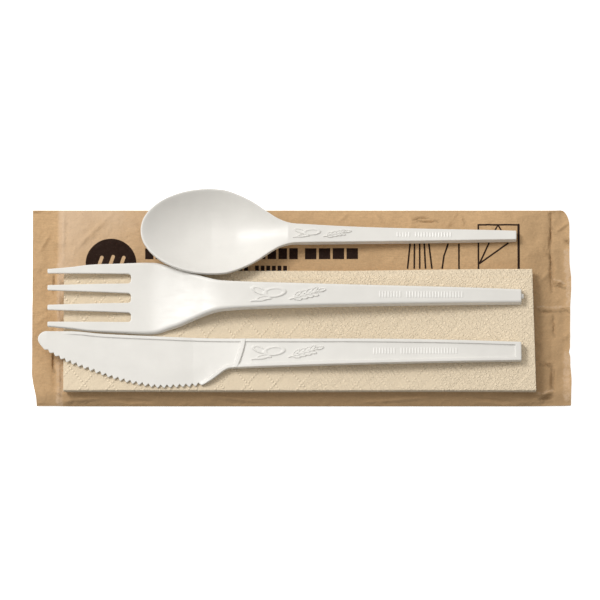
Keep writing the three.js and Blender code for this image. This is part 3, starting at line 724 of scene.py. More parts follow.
def knife_outlines():
    """The knife's two borders in plan, as functions of s: the toothed edge's and the spine's."""
    blade = BLADE_LENGTH
    handle_half, end_half = KNIFE_HANDLE_WIDTH / 2, KNIFE_END_WIDTH / 2
    spine = eased(
        through(
            (0, handle_half + 3.45),
            (blade * 0.17, handle_half + 3.4),
            (blade * 0.33, handle_half + 2.4),
            (blade * 0.67, handle_half + 1.2),
            (blade + 6, handle_half),
            (lerp(blade, KNIFE_LENGTH, 0.65), lerp(end_half, handle_half, 0.5)),
            (KNIFE_LENGTH, end_half),
        ),
        2,
    )
    edge_line = eased(
        through(
            (0, 3.5),
            (blade * 0.025, 2.4),
            (blade * 0.057, 1.15),
            (blade * 0.145, -BLADE_BELLY * 0.186),
            (blade * 0.27, -BLADE_BELLY * 0.459),
            (blade * 0.424, -BLADE_BELLY * 0.76),
            (blade * 0.533, -BLADE_BELLY * 0.906),
            (blade * 0.65, -BLADE_BELLY),
            (blade * 0.764, -BLADE_BELLY * 0.979),
            (blade * 0.86, -BLADE_BELLY * 0.94),
            (blade * 0.885, -BLADE_BELLY * 0.884),
            (blade * 0.925, -BLADE_BELLY * 0.751),
            (blade * 0.96, -BLADE_BELLY * 0.605),
            (blade * 0.99, -handle_half - 0.6),
            (blade * 1.015, -handle_half - 0.05),
            (blade + 4, -handle_half + 0.02),
            (KNIFE_LENGTH, -end_half),
        ),
        0.9,
    )
    tip_middle = lerp(edge_line(0), spine(0), 0.46)

    def bow(s):
        return np.sqrt(TIP_RADIUS**2 - np.clip(TIP_RADIUS - s, 0, TIP_RADIUS) ** 2) / TIP_RADIUS

    def upper(s):
        return lerp(tip_middle, spine(s), bow(s)) - corner(KNIFE_LENGTH - s, END_CORNER)

    def lower(s):
        return lerp(tip_middle, edge_line(s), bow(s)) + corner(KNIFE_LENGTH - s, END_CORNER)

    return lower, upper


def distance_in(outline, x, y, side):
    """Distance in from an outline: the gap along Y times the cosine of the outline's slope."""
    at, step = np.clip(x, 0.03, KNIFE_LENGTH - END_CORNER - 0.05), 0.02
    slope = (outline(at + step) - outline(at - step)) / (2 * step)
    return side * (y - outline(np.clip(x, 0, KNIFE_LENGTH))) / np.hypot(1, slope)


def knife_foot_line():
    """Height of the knife's foot: a slightly lifted tip, a flat blade and an arched handle."""
    blade = BLADE_LENGTH

    def handle(share):
        return lerp(blade, KNIFE_LENGTH, share)

    return eased(
        through(
            (0, 0.7),
            (blade * 0.25, 0.15),
            (blade * 0.4, 0),
            (blade * 0.9, 0),
            (handle(0.12), KNIFE_ARCH * 0.4),
            (handle(0.45), KNIFE_ARCH),
            (handle(0.75), KNIFE_ARCH * 0.8),
            (KNIFE_LENGTH, 0.2),
        ),
        2,
    )


def notches(lower):
    """Stations along s that shape the notches between the teeth, and their depth as a function.

    The teeth stand along the edge's own length, so every one has the same pitch.
    """
    fine = np.arange(0.05, BLADE_LENGTH, 0.02)
    run = np.concatenate([[0], np.cumsum(np.hypot(np.diff(fine), np.diff(lower(fine))))])
    first = np.interp(FIRST_TOOTH, fine, run)
    teeth = int((np.interp(BLADE_LENGTH * TOOTHED_SHARE, fine, run) - first) / TOOTH_PITCH) + 1
    half = TOOTH_PITCH * NOTCH_SHARE / 2
    steps = np.array([-1, -0.66, -0.33, -0.06, 0.06, 0.33, 0.66, 1]) * half
    runs = first + TOOTH_PITCH * columned(np.arange(teeth)) + steps

    def depth(s):
        """Up to the teeth's full depth, and less in the few nearest to the tip."""
        travelled = np.interp(s, fine, run) - first
        nearest = np.clip(np.round(travelled / TOOTH_PITCH), 0, teeth - 1) * TOOTH_PITCH
        full = TOOTH_DEPTH * np.clip(1.06 * (1 - np.abs(travelled - nearest) / half), 0, 1)
        return full * lerp(0.6, 1, smooth(travelled, 0, 5 * TOOTH_PITCH))

    return np.interp(runs.ravel(), run, fine), depth


def knife_mesh(material, relief):
    """The knife: a rimmed, toothed blade with a round tip, a cross rib and a channel handle."""
    blade = BLADE_LENGTH
    lower, upper = knife_outlines()
    foot_line = knife_foot_line()
    depth = through((blade * 0.82, BLADE_WEB), (blade + 8, FLANGE - RIM_HEIGHT))
    spine_rim = through((blade * 0.13, 0), (blade * 0.24, RIM_HEIGHT))
    edge_rim = through((blade * 0.86, 0), (blade * 0.9, RIM_HEIGHT))
    bevel = through((blade * 0.84, 1), (blade * 0.92, 0))
    rib_place = blade + CROSS_RIB_PLACE

    def solid_end(x):
        return end_wall(x, KNIFE_LENGTH, KNIFE_END_WALL)

    def level(x):
        return foot_line(x) + depth(x)

    def bevelled(x, y):
        into = distance_in(lower, x, y, 1)
        return (BLADE_WEB - CUTTING_EDGE) * bevel(x) * (1 - smooth(into, 0, BEVEL_WIDTH))

    def plateau(into):
        return 1 - smooth(into, RIM_WIDTH, RIM_WIDTH + 0.3)

    def top(x, y):
        share = 2 * (y - lower(x)) / (upper(x) - lower(x) + 1e-9) - 1
        rib_line = rib_place + CROSS_RIB_SLANT * (share - 0.25 * share**2)
        cross = 1 - smooth(np.abs(x - rib_line), CROSS_RIB_WIDTH / 2, CROSS_RIB_WIDTH / 2 + 0.35)
        from_low = np.maximum(distance_in(lower, x, y, 1), 0)
        from_high = np.maximum(distance_in(upper, x, y, -1), 0)
        raised = np.maximum(spine_rim(x) * plateau(from_high), edge_rim(x) * plateau(from_low))
        raised = np.maximum(raised, (RIM_HEIGHT + CROSS_RIB_RISE) * cross)
        raised = np.maximum(raised, RIM_HEIGHT * solid_end(x))
        end = corner(KNIFE_LENGTH - x, END_CORNER)
        marks = handle_marks(x, y - (upper(x) + lower(x)) / 2, KNIFE_SPRIG, KNIFE_RIBS)
        return level(x) + np.maximum(raised, relief * marks) - TOP_BEVEL * bevelled(x, y) - end

    def under(x, y):
        web = lerp(BLADE_WEB, FLANGE - RIM_HEIGHT, solid_end(x)) - END_WALL_LIFT
        return level(x) - web + (1 - TOP_BEVEL) * bevelled(x, y)

    notch_rows, notch_depth = notches(lower)
    s = distinct(np.concatenate([
        TIP_RADIUS * (1 - np.cos(np.linspace(0, np.pi / 2, 16))),
        stations((TIP_RADIUS + 0.2, notch_rows[0] - 0.2, 0.3)),
        notch_rows,
        stations((notch_rows[-1] + 0.3, 66.4, 0.35), (66.6, 72.8, 0.15), (73, 100.5, 0.17)),
        stations((101, 115, 1), (115.4, 145.4, 0.19), (146, KNIFE_LENGTH - 2.6, 1)),
        stations((KNIFE_LENGTH - 2.3, KNIFE_LENGTH - 1.7, 0.08)),
        (KNIFE_LENGTH - round_steps(END_CORNER))[::-1],
    ]))
    notch = notch_depth(s)
    edge = np.full(len(s), 0.25)
    low, high = np.stack([s, lower(s)], 1), np.stack([s, upper(s)], 1)
    gap = np.maximum(upper(s) - lower(s) - 2 * edge, 0.05)
    offsets = np.array([0, 0.3, 0.6, 0.72, 0.8, 0.88, 0.96, 1.05, 1.3])
    shares = shares_across(gap, offsets, 42)
    into = inward(low, 1, True)
    fading = np.clip(1 - shares * columned(gap) / 2.4, 0, 1)
    nudge = into[:, None, :] * (columned(notch) * fading)[:, :, None]
    wall = through((blade * 0.86, 0.3), (blade * 0.95, FLANGE_WALL))(s)
    edge_foot = lerp(CUTTING_EDGE, depth(s), smooth(s, blade * 0.86, blade * 0.92))
    thin = (BLADE_WEB - CUTTING_EDGE) * bevel(s)

    def foot(side):
        return level(s) - (edge_foot + TOP_BEVEL * thin if side > 0 else depth(s))

    face, back = moulding(
        low, high, (shares, shares), top, under, foot, edge, wall, np.zeros(len(s)),
        tip_closed=True, nudge=nudge, inset=notch,
    )
    points, quads = closed_plate(face, back, tip_closed=True)
    return piece("moulded_knife", seated(points, "knife", KNIFE_TURN), quads, material)


def along_rear(share):
    """A share of the way from the bowl's widest place to its end."""
    return BOWL_WIDEST + (BOWL_LENGTH - BOWL_WIDEST) * share


def spoon_outline():
    """Half the spoon's width as a function of s: an egg shaped bowl and a narrowing handle."""
    wide, along = BOWL_WIDTH / 2, along_rear

    def width(share):
        return lerp(SPOON_NECK_WIDTH / 2, wide, share)

    rear = through(
        (BOWL_WIDEST, wide),
        (along(0.15), width(0.978)),
        (along(0.385), width(0.81)),
        (along(0.53), width(0.65)),
        (along(0.645), width(0.483)),
        (along(0.775), width(0.273)),
        (along(0.905), width(0.105)),
        (BOWL_LENGTH + 2, SPOON_NECK_WIDTH / 2),
        (SPOON_LENGTH, SPOON_END_WIDTH / 2),
    )

    def whole(s):
        egg = wide * np.sqrt(np.maximum(0, 1 - (np.minimum(s, BOWL_WIDEST) / BOWL_WIDEST - 1) ** 2))
        return np.where(s < BOWL_WIDEST, egg, rear(s))

    def half(s):
        """The outline, eased more the further it is from the tip, which stays an exact ellipse."""
        return lerp(whole(s), eased(whole, 1.8)(np.maximum(s, 2)), smooth(s, 4, 12))

    return half


def spoon_top_line():
    """Height of the rim, falling evenly from tip to neck, and of the handle, which levels off."""
    rest = SPOON_WEB + BOWL_DEPTH
    along = along_rear

    def height(share):
        return lerp(FLANGE, rest, share)

    def handle(share):
        return lerp(BOWL_LENGTH, SPOON_LENGTH, share)

    return eased(
        through(
            (0, rest + BOWL_TIP_RISE),
            (BOWL_WIDEST * 0.4, rest + BOWL_TIP_RISE * 0.64),
            (BOWL_WIDEST, rest),
            (along(0.5), height(0.77)),
            (along(0.89), height(0.6)),
            (handle(0.075), height(0.52)),
            (handle(0.2), height(0.365)),
            (handle(0.34), height(0.23)),
            (handle(0.46), height(0.154)),
            (handle(0.6), height(0.096)),
            (handle(0.85), height(0.03)),
            (SPOON_LENGTH, SPOON_FLANGE + SPOON_END_LIFT),
        ),
        3,
    )


def spoon_mesh(material, relief):
    """The spoon: an egg shaped bowl with a narrow flat rim, and a channel handle."""
    wide, along = BOWL_WIDTH / 2, along_rear
    half, top_line = spoon_outline(), spoon_top_line()
    rear_dish = through(
        (BOWL_WIDEST, BOWL_DEPTH),
        (along(0.3), BOWL_DEPTH * 0.86),
        (along(0.6), BOWL_DEPTH * 0.5),
        (along(0.85), BOWL_DEPTH * 0.14),
        (BOWL_LENGTH, 0),
    )
    flange = through((along(0.7), SPOON_WEB), (BOWL_LENGTH + 6, SPOON_FLANGE))

    def hollow(x, y, land):
        """Depth of the bowl: D (1 - rho^p), with rho the share of the way to the rim."""
        ahead = np.maximum(BOWL_WIDEST - x, 0) / (BOWL_WIDEST - land)
        aside = y / np.where(x < BOWL_WIDEST, wide - land, np.maximum(half(x) - land, 0.4))
        share = 1 - np.minimum(np.hypot(ahead, aside), 1.2) ** BOWL_POWER
        soft = (share + np.sqrt(share**2 + 0.035**2)) / 2
        return np.where(x < BOWL_WIDEST, BOWL_DEPTH, rear_dish(x)) * soft

    def top(x, y):
        marks = handle_marks(x, y, SPOON_SPRIG, SPOON_RIBS)
        end = corner(SPOON_LENGTH - x, END_CORNER)
        return top_line(x) - hollow(x, y, RIM_LAND) + relief * marks - end

    def under(x, y):
        step = 0.05
        slope_x = (hollow(x + step, y, 0) - hollow(x - step, y, 0)) / (2 * step)
        slope_y = (hollow(x, y + step, 0) - hollow(x, y - step, 0)) / (2 * step)
        web = lerp(SPOON_WEB, SPOON_FLANGE - END_WALL_LIFT, end_wall(x, SPOON_LENGTH))
        return top_line(x) - hollow(x, y, 0) - web * np.sqrt(1 + slope_x**2 + slope_y**2)

    s = np.concatenate([
        BOWL_WIDEST * (1 - np.cos(np.linspace(0, np.pi / 2, 44))),
        stations((BOWL_WIDEST + 0.6, 50.2, 0.6), (50.4, 52.8, 0.25), (53, 73, 0.17)),
        stations((73.6, 88, 0.9), (88.3, 108, 0.16), (108.9, SPOON_LENGTH - 2.2, 0.9)),
        stations((SPOON_LENGTH - 1.8, SPOON_LENGTH - 1.1, 0.1)),
        (SPOON_LENGTH - round_steps(END_CORNER))[::-1],
    ])
    w = half(s) - corner(SPOON_LENGTH - s, END_CORNER)
    edge = np.full(len(s), 0.25)
    gap = np.maximum(2 * (w - edge), 0.02)
    shares = shares_across(gap, np.array([0, 0.12, 0.22, 0.32, 0.45, 0.65, 0.95]), 52)
    wall = through((along(0.55), BOWL_WALL), (BOWL_LENGTH + 2, FLANGE_WALL))(s)
    low, high = np.stack([s, -w], 1), np.stack([s, w], 1)
    sole = low + inward(low, 1, True) * columned(wall)
    foot = np.minimum(top_line(s) - flange(s), under(sole[:, 0], sole[:, 1]))
    draft = FLANGE_DRAFT * (top_line(s) - foot) * smooth(s, along(0.5), BOWL_LENGTH)
    face, back = moulding(
        low, high, (shares, shares), top, under, lambda side: foot, edge, wall, draft, tip_closed=True
    )
    points, quads = closed_plate(face, back, tip_closed=True)
    return piece("moulded_spoon", seated(points, "spoon", SPOON_TURN, SPOON_ROLL), quads, material)


# Paper


def lattice_noise(x, y, cell, seed):
    """Value noise from -1 to 1: random heights on a square lattice, joined by smoothsteps."""
    table = np.random.RandomState(seed).uniform(-1, 1, (256, 256))
    column, row = np.floor(x / cell).astype(int), np.floor(y / cell).astype(int)
    u, v = smooth(x / cell - column, 0, 1), smooth(y / cell - row, 0, 1)

    def height(i, j):
        return table[(column + i) % 256, (row + j) % 256]

    return lerp(lerp(height(0, 0), height(1, 0), u), lerp(height(0, 1), height(1, 1), u), v)


def turned(x, y, degrees):
    """The place along and across a line that runs at that many degrees from X."""
    t = np.radians(degrees)
    return x * np.cos(t) + y * np.sin(t), y * np.cos(t) - x * np.sin(t)


# Creases pressed into the sleeve: start x, y, end x, y, half width and height, in millimetres
SLEEVE_CREASES = (
    (38.4, 31.0, 44.0, 31.8, 0.32, -0.78),
    (40.0, 30.3, 47.6, 30.2, 0.32, -0.78),
    (37.2, 32.8, 38.4, 29.0, 0.4, 0.68),
    (50.3, 28.6, 53.9, 33.3, 0.36, 0.78),
    (55.0, 32.6, 56.0, 29.2, 0.36, 0.68),
    (25.9, 33.0, 28.4, 28.8, 0.4, 0.59),
    (13.0, 30.4, 16.2, 33.3, 0.4, 0.59),
    (-84.0, 30.2, -81.4, 30.0, 0.32, 0.59),
    (-79.0, 20.0, -66.0, 33.0, 0.64, 0.43),
    (-58.0, 33.5, -52.5, 20.0, 0.64, -0.43),
    (62.0, 34.0, 70.0, 20.0, 0.72, 0.39),
    (-20.0, 34.0, -8.0, 24.0, 0.72, -0.39),
    # The left seal's inner ridge, with the hollows beside it
    (-82.7, 34.0, -82.9, 15.5, 0.75, 0.62),
    (-84.2, 15.0, -84.3, -12.0, 0.7, 0.7),
    (-84.2, -14.0, -84.0, -33.0, 0.75, 0.85),
    (-85.8, 12.0, -85.8, 5.5, 0.32, -0.78),
    (-86.0, -15.5, -85.9, -22.0, 0.4, -0.98),
    (-82.6, -19.0, -84.6, -16.5, 0.32, 0.59),
    (-82.8, -26.0, -85.4, -24.5, 0.32, 0.59),
    (-83.0, -31.0, -85.6, -29.5, 0.32, 0.59),
    (-91.8, -5.0, -87.2, -2.0, 0.4, 0.43),
    (-91.0, 20.0, -87.4, 26.0, 0.48, 0.43),
    (-82.0, -33.0, -70.0, -32.2, 0.56, 0.59),
    (-66.0, -32.6, -52.0, -33.2, 0.48, -0.59),
    (-30.0, -31.6, -12.0, -33.4, 0.56, 0.55),
    (22.0, -33.4, 44.0, -31.8, 0.56, 0.55),
    (58.0, -31.8, 72.0, -33.2, 0.48, -0.59),
    # The right seal's hollow, with folds that run into it from both sides
    (86.7, 33.0, 86.3, 21.0, 0.48, -0.98),
    (86.3, 20.0, 87.0, 6.5, 0.48, -0.98),
    (87.3, -3.0, 87.4, -10.0, 0.48, -0.78),
    (86.8, -21.5, 86.9, -29.0, 0.56, -1.08),
    (87.3, 9.5, 91.6, 8.3, 0.4, 0.98),
    (87.6, 7.9, 91.4, 6.9, 0.4, -0.68),
    (91.2, 24.0, 93.2, 22.8, 0.4, -0.78),
    (81.4, -0.4, 93.0, -0.4, 0.32, 0.78),
    (81.8, -1.6, 88.0, -1.5, 0.32, -0.59),
    (82.6, -18.9, 86.8, -19.6, 0.36, 0.78),
    (82.6, -20.1, 86.8, -20.8, 0.36, -0.78),
    (82.1, -32.6, 86.8, -31.5, 0.4, -0.98),
    (82.1, -31.0, 86.6, -29.9, 0.4, 0.78),
    (88.6, -12.0, 92.6, -9.4, 0.4, 0.59),
    (88.8, 27.4, 92.4, 30.0, 0.4, 0.59),
    (82.0, 22.0, 85.6, 18.0, 0.4, 0.59),
    (81.6, 8.0, 85.8, 12.6, 0.4, 0.48),
)

# Right end: y with how far its cut edge stands back, and y with how far the edge curls up
RIGHT_EDGE = (
    (-34.6, 0.4),
    (-30, 0.2),
    (-26, 0.15),
    (-20, 0.5),
    (-17.3, 0.5),
    (-15.8, 0.95),
    (-14, 0.6),
    (-9, 0.45),
    (1, 0.4),
    (4, 0.15),
    (7, 0),
    (10, 0.02),
    (13, 0.3),
    (17, 0.6),
    (24, 0.5),
    (29, 0.45),
    (34.6, 0.5),
)
RIGHT_CURL = (
    (-34.6, 0.5),
    (-30, 0.9),
    (-17, 0.8),
    (-12, 0.15),
    (-4, 0.1),
    (1, 0.7),
    (10, 0.6),
    (13, 0.9),
    (20, 0.8),
    (23, 0),
    (27, 0.25),
    (34.6, 0.2),
)


def creases(x, y):
    """Sum of ridges along segments: height times exp(-(distance / half width)^2), fading at ends."""
    total = np.zeros(np.shape(x))
    wander = 0.3 * lattice_noise(x, y, 2.6, 11) + 0.12 * lattice_noise(x, y, 0.9, 12)
    for x0, y0, x1, y1, width, height in SLEEVE_CREASES:
        dx, dy = x1 - x0, y1 - y0
        share = ((x - x0) * dx + (y - y0) * dy) / (dx * dx + dy * dy)
        inside = np.clip(share, 0, 1)
        away = np.hypot(x - x0 - inside * dx, y - y0 - inside * dy) + wander
        total += height * np.exp(-((away / width) ** 2)) * (0.4 + 0.6 * np.sin(np.pi * inside))
    return total


def crumple(x, y):
    """Soft undulation plus ridged noise, -|noise|, whose sharp crests read as old folds."""
    total = 0.2 * lattice_noise(x, y, 24, 1)
    for cell, angle, depth, seed in ((14, 24, 0.75, 2), (7, -31, 0.5, 3), (3.4, 12, 0.26, 4)):
        u, v = turned(x, y, angle)
        total += depth * (0.3 - np.abs(lattice_noise(u, v, cell, seed)))
    return total


def sleeve_mesh(material, crease_scale):
    """The sleeve: a flat pouch with sealed end bands, a seam strip beneath and a crumpled face."""
    low, high = SLEEVE_BOX
    end, half, height = (high[0] - low[0]) / 2, (high[1] - low[1]) / 2, high[2]
    middle = (low + high)[:2] / 2
    band_top = SEAL_UNDERSIDE + SEAL_THICKNESS

    def ramp(distance, start, length):
        share = np.clip((distance - start) / length, 0, 1)
        return (1 - (1 - share) ** 2) ** 0.8

    x = stations(
        (-end, -end + LEFT_FINE_ZONE, FINE_STEP),
        (-end + LEFT_FINE_ZONE, end - RIGHT_FINE_ZONE, COARSE_STEP),
        (end - RIGHT_FINE_ZONE, end, FINE_STEP),
    )
    # Coarser still where the napkin covers it
    covered_low, covered_high = NAPKIN_BOX[0, 1] + 1, NAPKIN_BOX[1, 1] - 1
    y = stations(
        (-half, -half + BORDER_ZONE, BORDER_STEP),
        (-half + BORDER_ZONE, covered_low, FINE_STEP),
        (covered_low, covered_high, 0.75),
        (covered_high, half - BORDER_ZONE, 0.45),
        (half - BORDER_ZONE, half, BORDER_STEP),
    )
    x, y = np.meshgrid(x, y, indexing="ij")
    level = y * 0
    left_swell = ramp(end + x, LEFT_RAMP_START, LEFT_RAMP)
    swell = np.minimum(left_swell, ramp(end - x, SEAL_LENGTH, RIGHT_RAMP))

    # Across, the back half is a squared ellipse, and the front strip bows down to the fold
    slope = 1 - (1 - np.clip((y + half) / FRONT_SLOPE, 0, 1)) ** FRONT_BOW
    squared = np.sqrt(np.maximum(0, 1 - np.abs(y / half) ** SLEEVE_SQUARENESS))
    full = swell * np.where(y < 0, slope, squared)
    drop = FRONT_DROP * swell * np.where(y < 0, 1 - slope, 0)

    # The two end bands follow the ends' outlines: a round corner, a nip and uneven cut edges
    into = np.clip((y - half) / CORNER_WIDTH + 1, 0, 1)
    right = end - CORNER_DEPTH * (1 - np.sqrt(1 - into**2)) - through(*RIGHT_EDGE)(y) + 0.02
    right = np.minimum(right + 0.06 * lattice_noise(y, level, 1.7, 22), end)
    left = -end + SLEEVE_NIP * smooth(-y, half - NIP_REACH, half) + 0.05
    left = left + 0.04 * lattice_noise(y, level, 2.3, 21)
    right_share = np.clip((x - end) / SEAL_LENGTH + 1, 0, 1)
    left_share = np.clip((-x - end) / SEAL_LENGTH + 1, 0, 1)
    placed = x + right_share * (right - end) + left_share * (left + end)

    # Folds stand on the face, weaker in the middle, and show beneath where the pouch is thin
    edges = smooth(half - np.abs(y), 0, BORDER_ZONE)
    calm = 0.5 + 0.5 * smooth(np.abs(placed), end - 30, end - 12)
    relief = crease_scale * (calm * crumple(placed, y) + creases(placed, y)) * edges
    curl = CURL_HEIGHT * through(*RIGHT_CURL)(y) * right_share**3
    curl = curl + LEFT_WAVE * left_share * lattice_noise(y, level + 7, 11, 9)
    top = lerp(band_top, height - CREASE_ROOM, full) - drop + relief
    top = np.minimum(top, height - 0.02) + curl
    beneath = SEAM_RISE * smooth(np.abs(y), SEAM_WIDTH / 2, SEAM_WIDTH / 2 + 0.4)
    under = lerp(SEAL_UNDERSIDE, beneath, full) - drop + curl + relief * (1 - swell)
    under = np.maximum(under + 0.3 * full * np.maximum(relief, 0) * smooth(np.abs(y), 8, 14), 0)
    top = np.clip(top, under + SEAL_THICKNESS * 0.6, height)
    face = np.dstack([placed + middle[0], y + middle[1], top])
    back = np.dstack([placed + middle[0], y + middle[1], under])
    points, quads = closed_plate(face, back)
    return piece("kraft_paper_sleeve", points, quads, material, sharp=60)


def fold_line():
    """The line to and fro in the YZ plane: eight passes joined by half round turns.

    Gives for each point its y, height, normal and pass, with the last pass finely stepped.
    """
    radius = PASS_PITCH / 2
    rows = []
    for number in range(NAPKIN_PASSES):
        last = number == NAPKIN_PASSES - 1
        back_edge = NAPKIN_WIDTH - (FREE_EDGE_STEP if number == 0 or last else radius)
        to_back = number % 2 == 1
        start, end = (radius, back_edge) if to_back else (back_edge, radius)
        side = 1 if to_back else -1
        level = (number + 0.5) * PASS_PITCH
        count = int(NAPKIN_WIDTH / NAPKIN_GRID) if last else 4
        rows += [(y, level, 0, side, number) for y in np.linspace(start, end, count)]
        if not last:
            for angle in np.linspace(0, np.pi, 8)[1:-1]:
                y = end + side * radius * np.sin(angle)
                z = level + radius - radius * np.cos(angle)
                rows.append((y, z, side * np.sin(angle), side * np.cos(angle), number + 0.5))
    return np.array(rows).T


def quilt(x, y, pitch):
    """Pillows between two sets of diagonal lines: the smaller |sin| across the two sets."""
    u, v = (x + y) * np.pi / pitch / np.sqrt(2), (x - y) * np.pi / pitch / np.sqrt(2)
    return np.minimum(np.abs(np.sin(u)), np.abs(np.sin(v)))


def napkin_mesh(material, quilt_pitch, emboss):
    """The napkin: one sheet, folded in half along X and then in eight passes along Y."""
    y, z, ny, nz, number = fold_line()
    left, front, foot = NAPKIN_BOX[0]
    layer = PASS_PITCH / 4
    lift = foot - (layer - PLY / 2)
    reach = NAPKIN_LENGTH - layer
    fine = np.linspace(0, reach, int(reach / NAPKIN_GRID))
    turn = np.linspace(0, np.pi, 7)[1:-1]

    def half_fold(offset):
        """Along X and out from the fold line: over the upper layer, round the fold and back."""
        gap = layer + offset
        along = np.concatenate([fine, reach + gap * np.sin(turn), [reach, reach * 0.5, 0]])
        out = np.concatenate([np.full(len(fine), gap), gap * np.cos(turn), [-gap] * 3])
        return columned(along), columned(out)

    grids = []
    top_pass = np.clip(number - (NAPKIN_PASSES - 2), 0, 1)
    for offset in (PLY / 2, -PLY / 2):
        along, out = half_fold(offset)
        x_in, y_in = along + y * 0, y + along * 0
        fan = NAPKIN_FAN * x_in * (y_in / NAPKIN_WIDTH) / NAPKIN_LENGTH
        stagger = 0.3 * np.sin(number * 2.4) * (1 - x_in / NAPKIN_LENGTH)
        slanted = NAPKIN_SLANT * (0.5 - y_in / NAPKIN_WIDTH) * x_in / NAPKIN_LENGTH
        x = left + 0.3 + x_in * (1 - 0.55 / NAPKIN_LENGTH) + stagger * smooth(x_in, -1, 0) + slanted
        wave = 0.12 * np.sin(x_in / 17 + number) * (0.3 + y_in / NAPKIN_WIDTH)
        placed_y = front + y_in + fan + ny * out + wave
        outer = top_pass * (out > 0)
        border = np.minimum.reduce([x_in, reach - x_in, y_in, NAPKIN_WIDTH - y_in])
        pillow = quilt(x, placed_y, quilt_pitch)
        crepe = lattice_noise(x, placed_y, 1.1, 41) * 0.5 + lattice_noise(x, placed_y, 0.75, 42) * 0.3
        puff = emboss * (smooth(pillow, 0.02, 0.3) - 0.45 + 0.35 * crepe) * smooth(border, 0, 1.2)
        rise = outer * (puff + 0.1 * lattice_noise(x, placed_y, 22, 43) * smooth(border, 0, 6))
        grids.append(np.dstack([x, placed_y, lift + z + nz * out + rise]))
    points, quads = closed_plate(*grids)
    made = piece("tissue_napkin", points, quads, material, sharp=75)
    sheet_length = np.hypot(np.diff(y), np.diff(z)).sum()
    return made, (2 * NAPKIN_LENGTH * MM, float(sheet_length) * MM)


# Shader nodes


def add(tree, kind, inputs=(), **settings):
    """A shader node with its settings, each input linked from a socket or set to a value."""
    node = tree.nodes.new("ShaderNode" + kind)
    for name, value in settings.items():
        setattr(node, name, value)
    for key, value in dict(inputs).items():
        if isinstance(value, bpy.types.NodeSocket):
            tree.links.new(value, node.inputs[key])
        else:
            node.inputs[key].default_value = value
    return node


def maths(tree, operation, *values, clamp=False):
    """The value of one Math node."""
    return add(tree, "Math", enumerate(values), operation=operation, use_clamp=clamp).outputs[0]


def times(tree, first, second):
    """The product of two values."""
    return maths(tree, "MULTIPLY", first, second)


def vector_maths(tree, operation, *values):
    """The vector of one Vector Math node."""
    return add(tree, "VectorMath", enumerate(values), operation=operation).outputs[0]


def split(tree, vector):
    """A vector's X, Y and Z."""
    return add(tree, "SeparateXYZ", {0: vector}).outputs


def mixed(tree, share, under, over, blend="MIX"):
    """Two colours mixed, the second over the first."""
    inputs = {0: share, 6: under, 7: over}
    return add(tree, "Mix", inputs, data_type="RGBA", blend_type=blend).outputs[2]


def ranged(tree, value, low, high, to_low=0.0, to_high=1.0, kind="SMOOTHSTEP"):
    """A value carried from one range to another and held at its ends."""
    inputs = {0: value, 1: low, 2: high, 3: to_low, 4: to_high}
    return add(tree, "MapRange", inputs, interpolation_type=kind).outputs[0]


def noise(tree, place, scale, detail=2.0, roughness=0.5):
    """The value of a Noise Texture, about 0.5 on average."""
    inputs = {"Vector": place, "Scale": scale, "Detail": detail, "Roughness": roughness}
    return add(tree, "TexNoise", inputs).outputs[0]


def stretched(tree, place, scale, turn=0.0):
    """A place scaled along each axis, and turned about Z in degrees before that."""
    inputs = {"Vector": place, "Rotation": (0, 0, np.radians(turn))}
    turned_place = add(tree, "Mapping", inputs, vector_type="POINT").outputs[0]
    return vector_maths(tree, "MULTIPLY", turned_place, scale)


def shaken(tree, place, scale, detail, reach, back=0.0):
    """A place moved along X and Y: on by a noise up to the reach, and back by a fixed step."""
    shift = add(tree, "TexNoise", {"Vector": place, "Scale": scale, "Detail": detail}).outputs[1]
    moved = vector_maths(tree, "MULTIPLY_ADD", shift, (reach, reach, 0), place)
    return vector_maths(tree, "SUBTRACT", moved, (back, back, 0))


def millimetres(tree):
    """Object coordinates in millimetres."""
    place = add(tree, "TexCoord").outputs["Object"]
    return add(tree, "VectorMath", {0: place, "Scale": 1 / MM}, operation="SCALE").outputs[0]


def group(name, build, takes, gives):
    """A node group made once: `takes` maps input names to defaults, `gives` names the outputs."""
    tree = bpy.data.node_groups.get(name)
    if tree is None:
        tree = bpy.data.node_groups.new(name, "ShaderNodeTree")
        for key, default in takes.items():
            kind = "NodeSocketVector" if key == "Place" else "NodeSocketFloat"
            socket = tree.interface.new_socket(key, in_out="INPUT", socket_type=kind)
            if key != "Place":
                socket.default_value = default
        for key in gives:
            tree.interface.new_socket(key, in_out="OUTPUT", socket_type="NodeSocketFloat")
        inside = tree.nodes.new("NodeGroupInput")
        outside = tree.nodes.new("NodeGroupOutput")
        for key, socket in zip(gives, build(tree, inside.outputs)):
            tree.links.new(socket, outside.inputs[key])
    return tree


def placed_group(tree, node_group, values):
    """The outputs of a node group put into the tree with those inputs."""
    return add(tree, "Group", values, node_tree=node_group).outputs


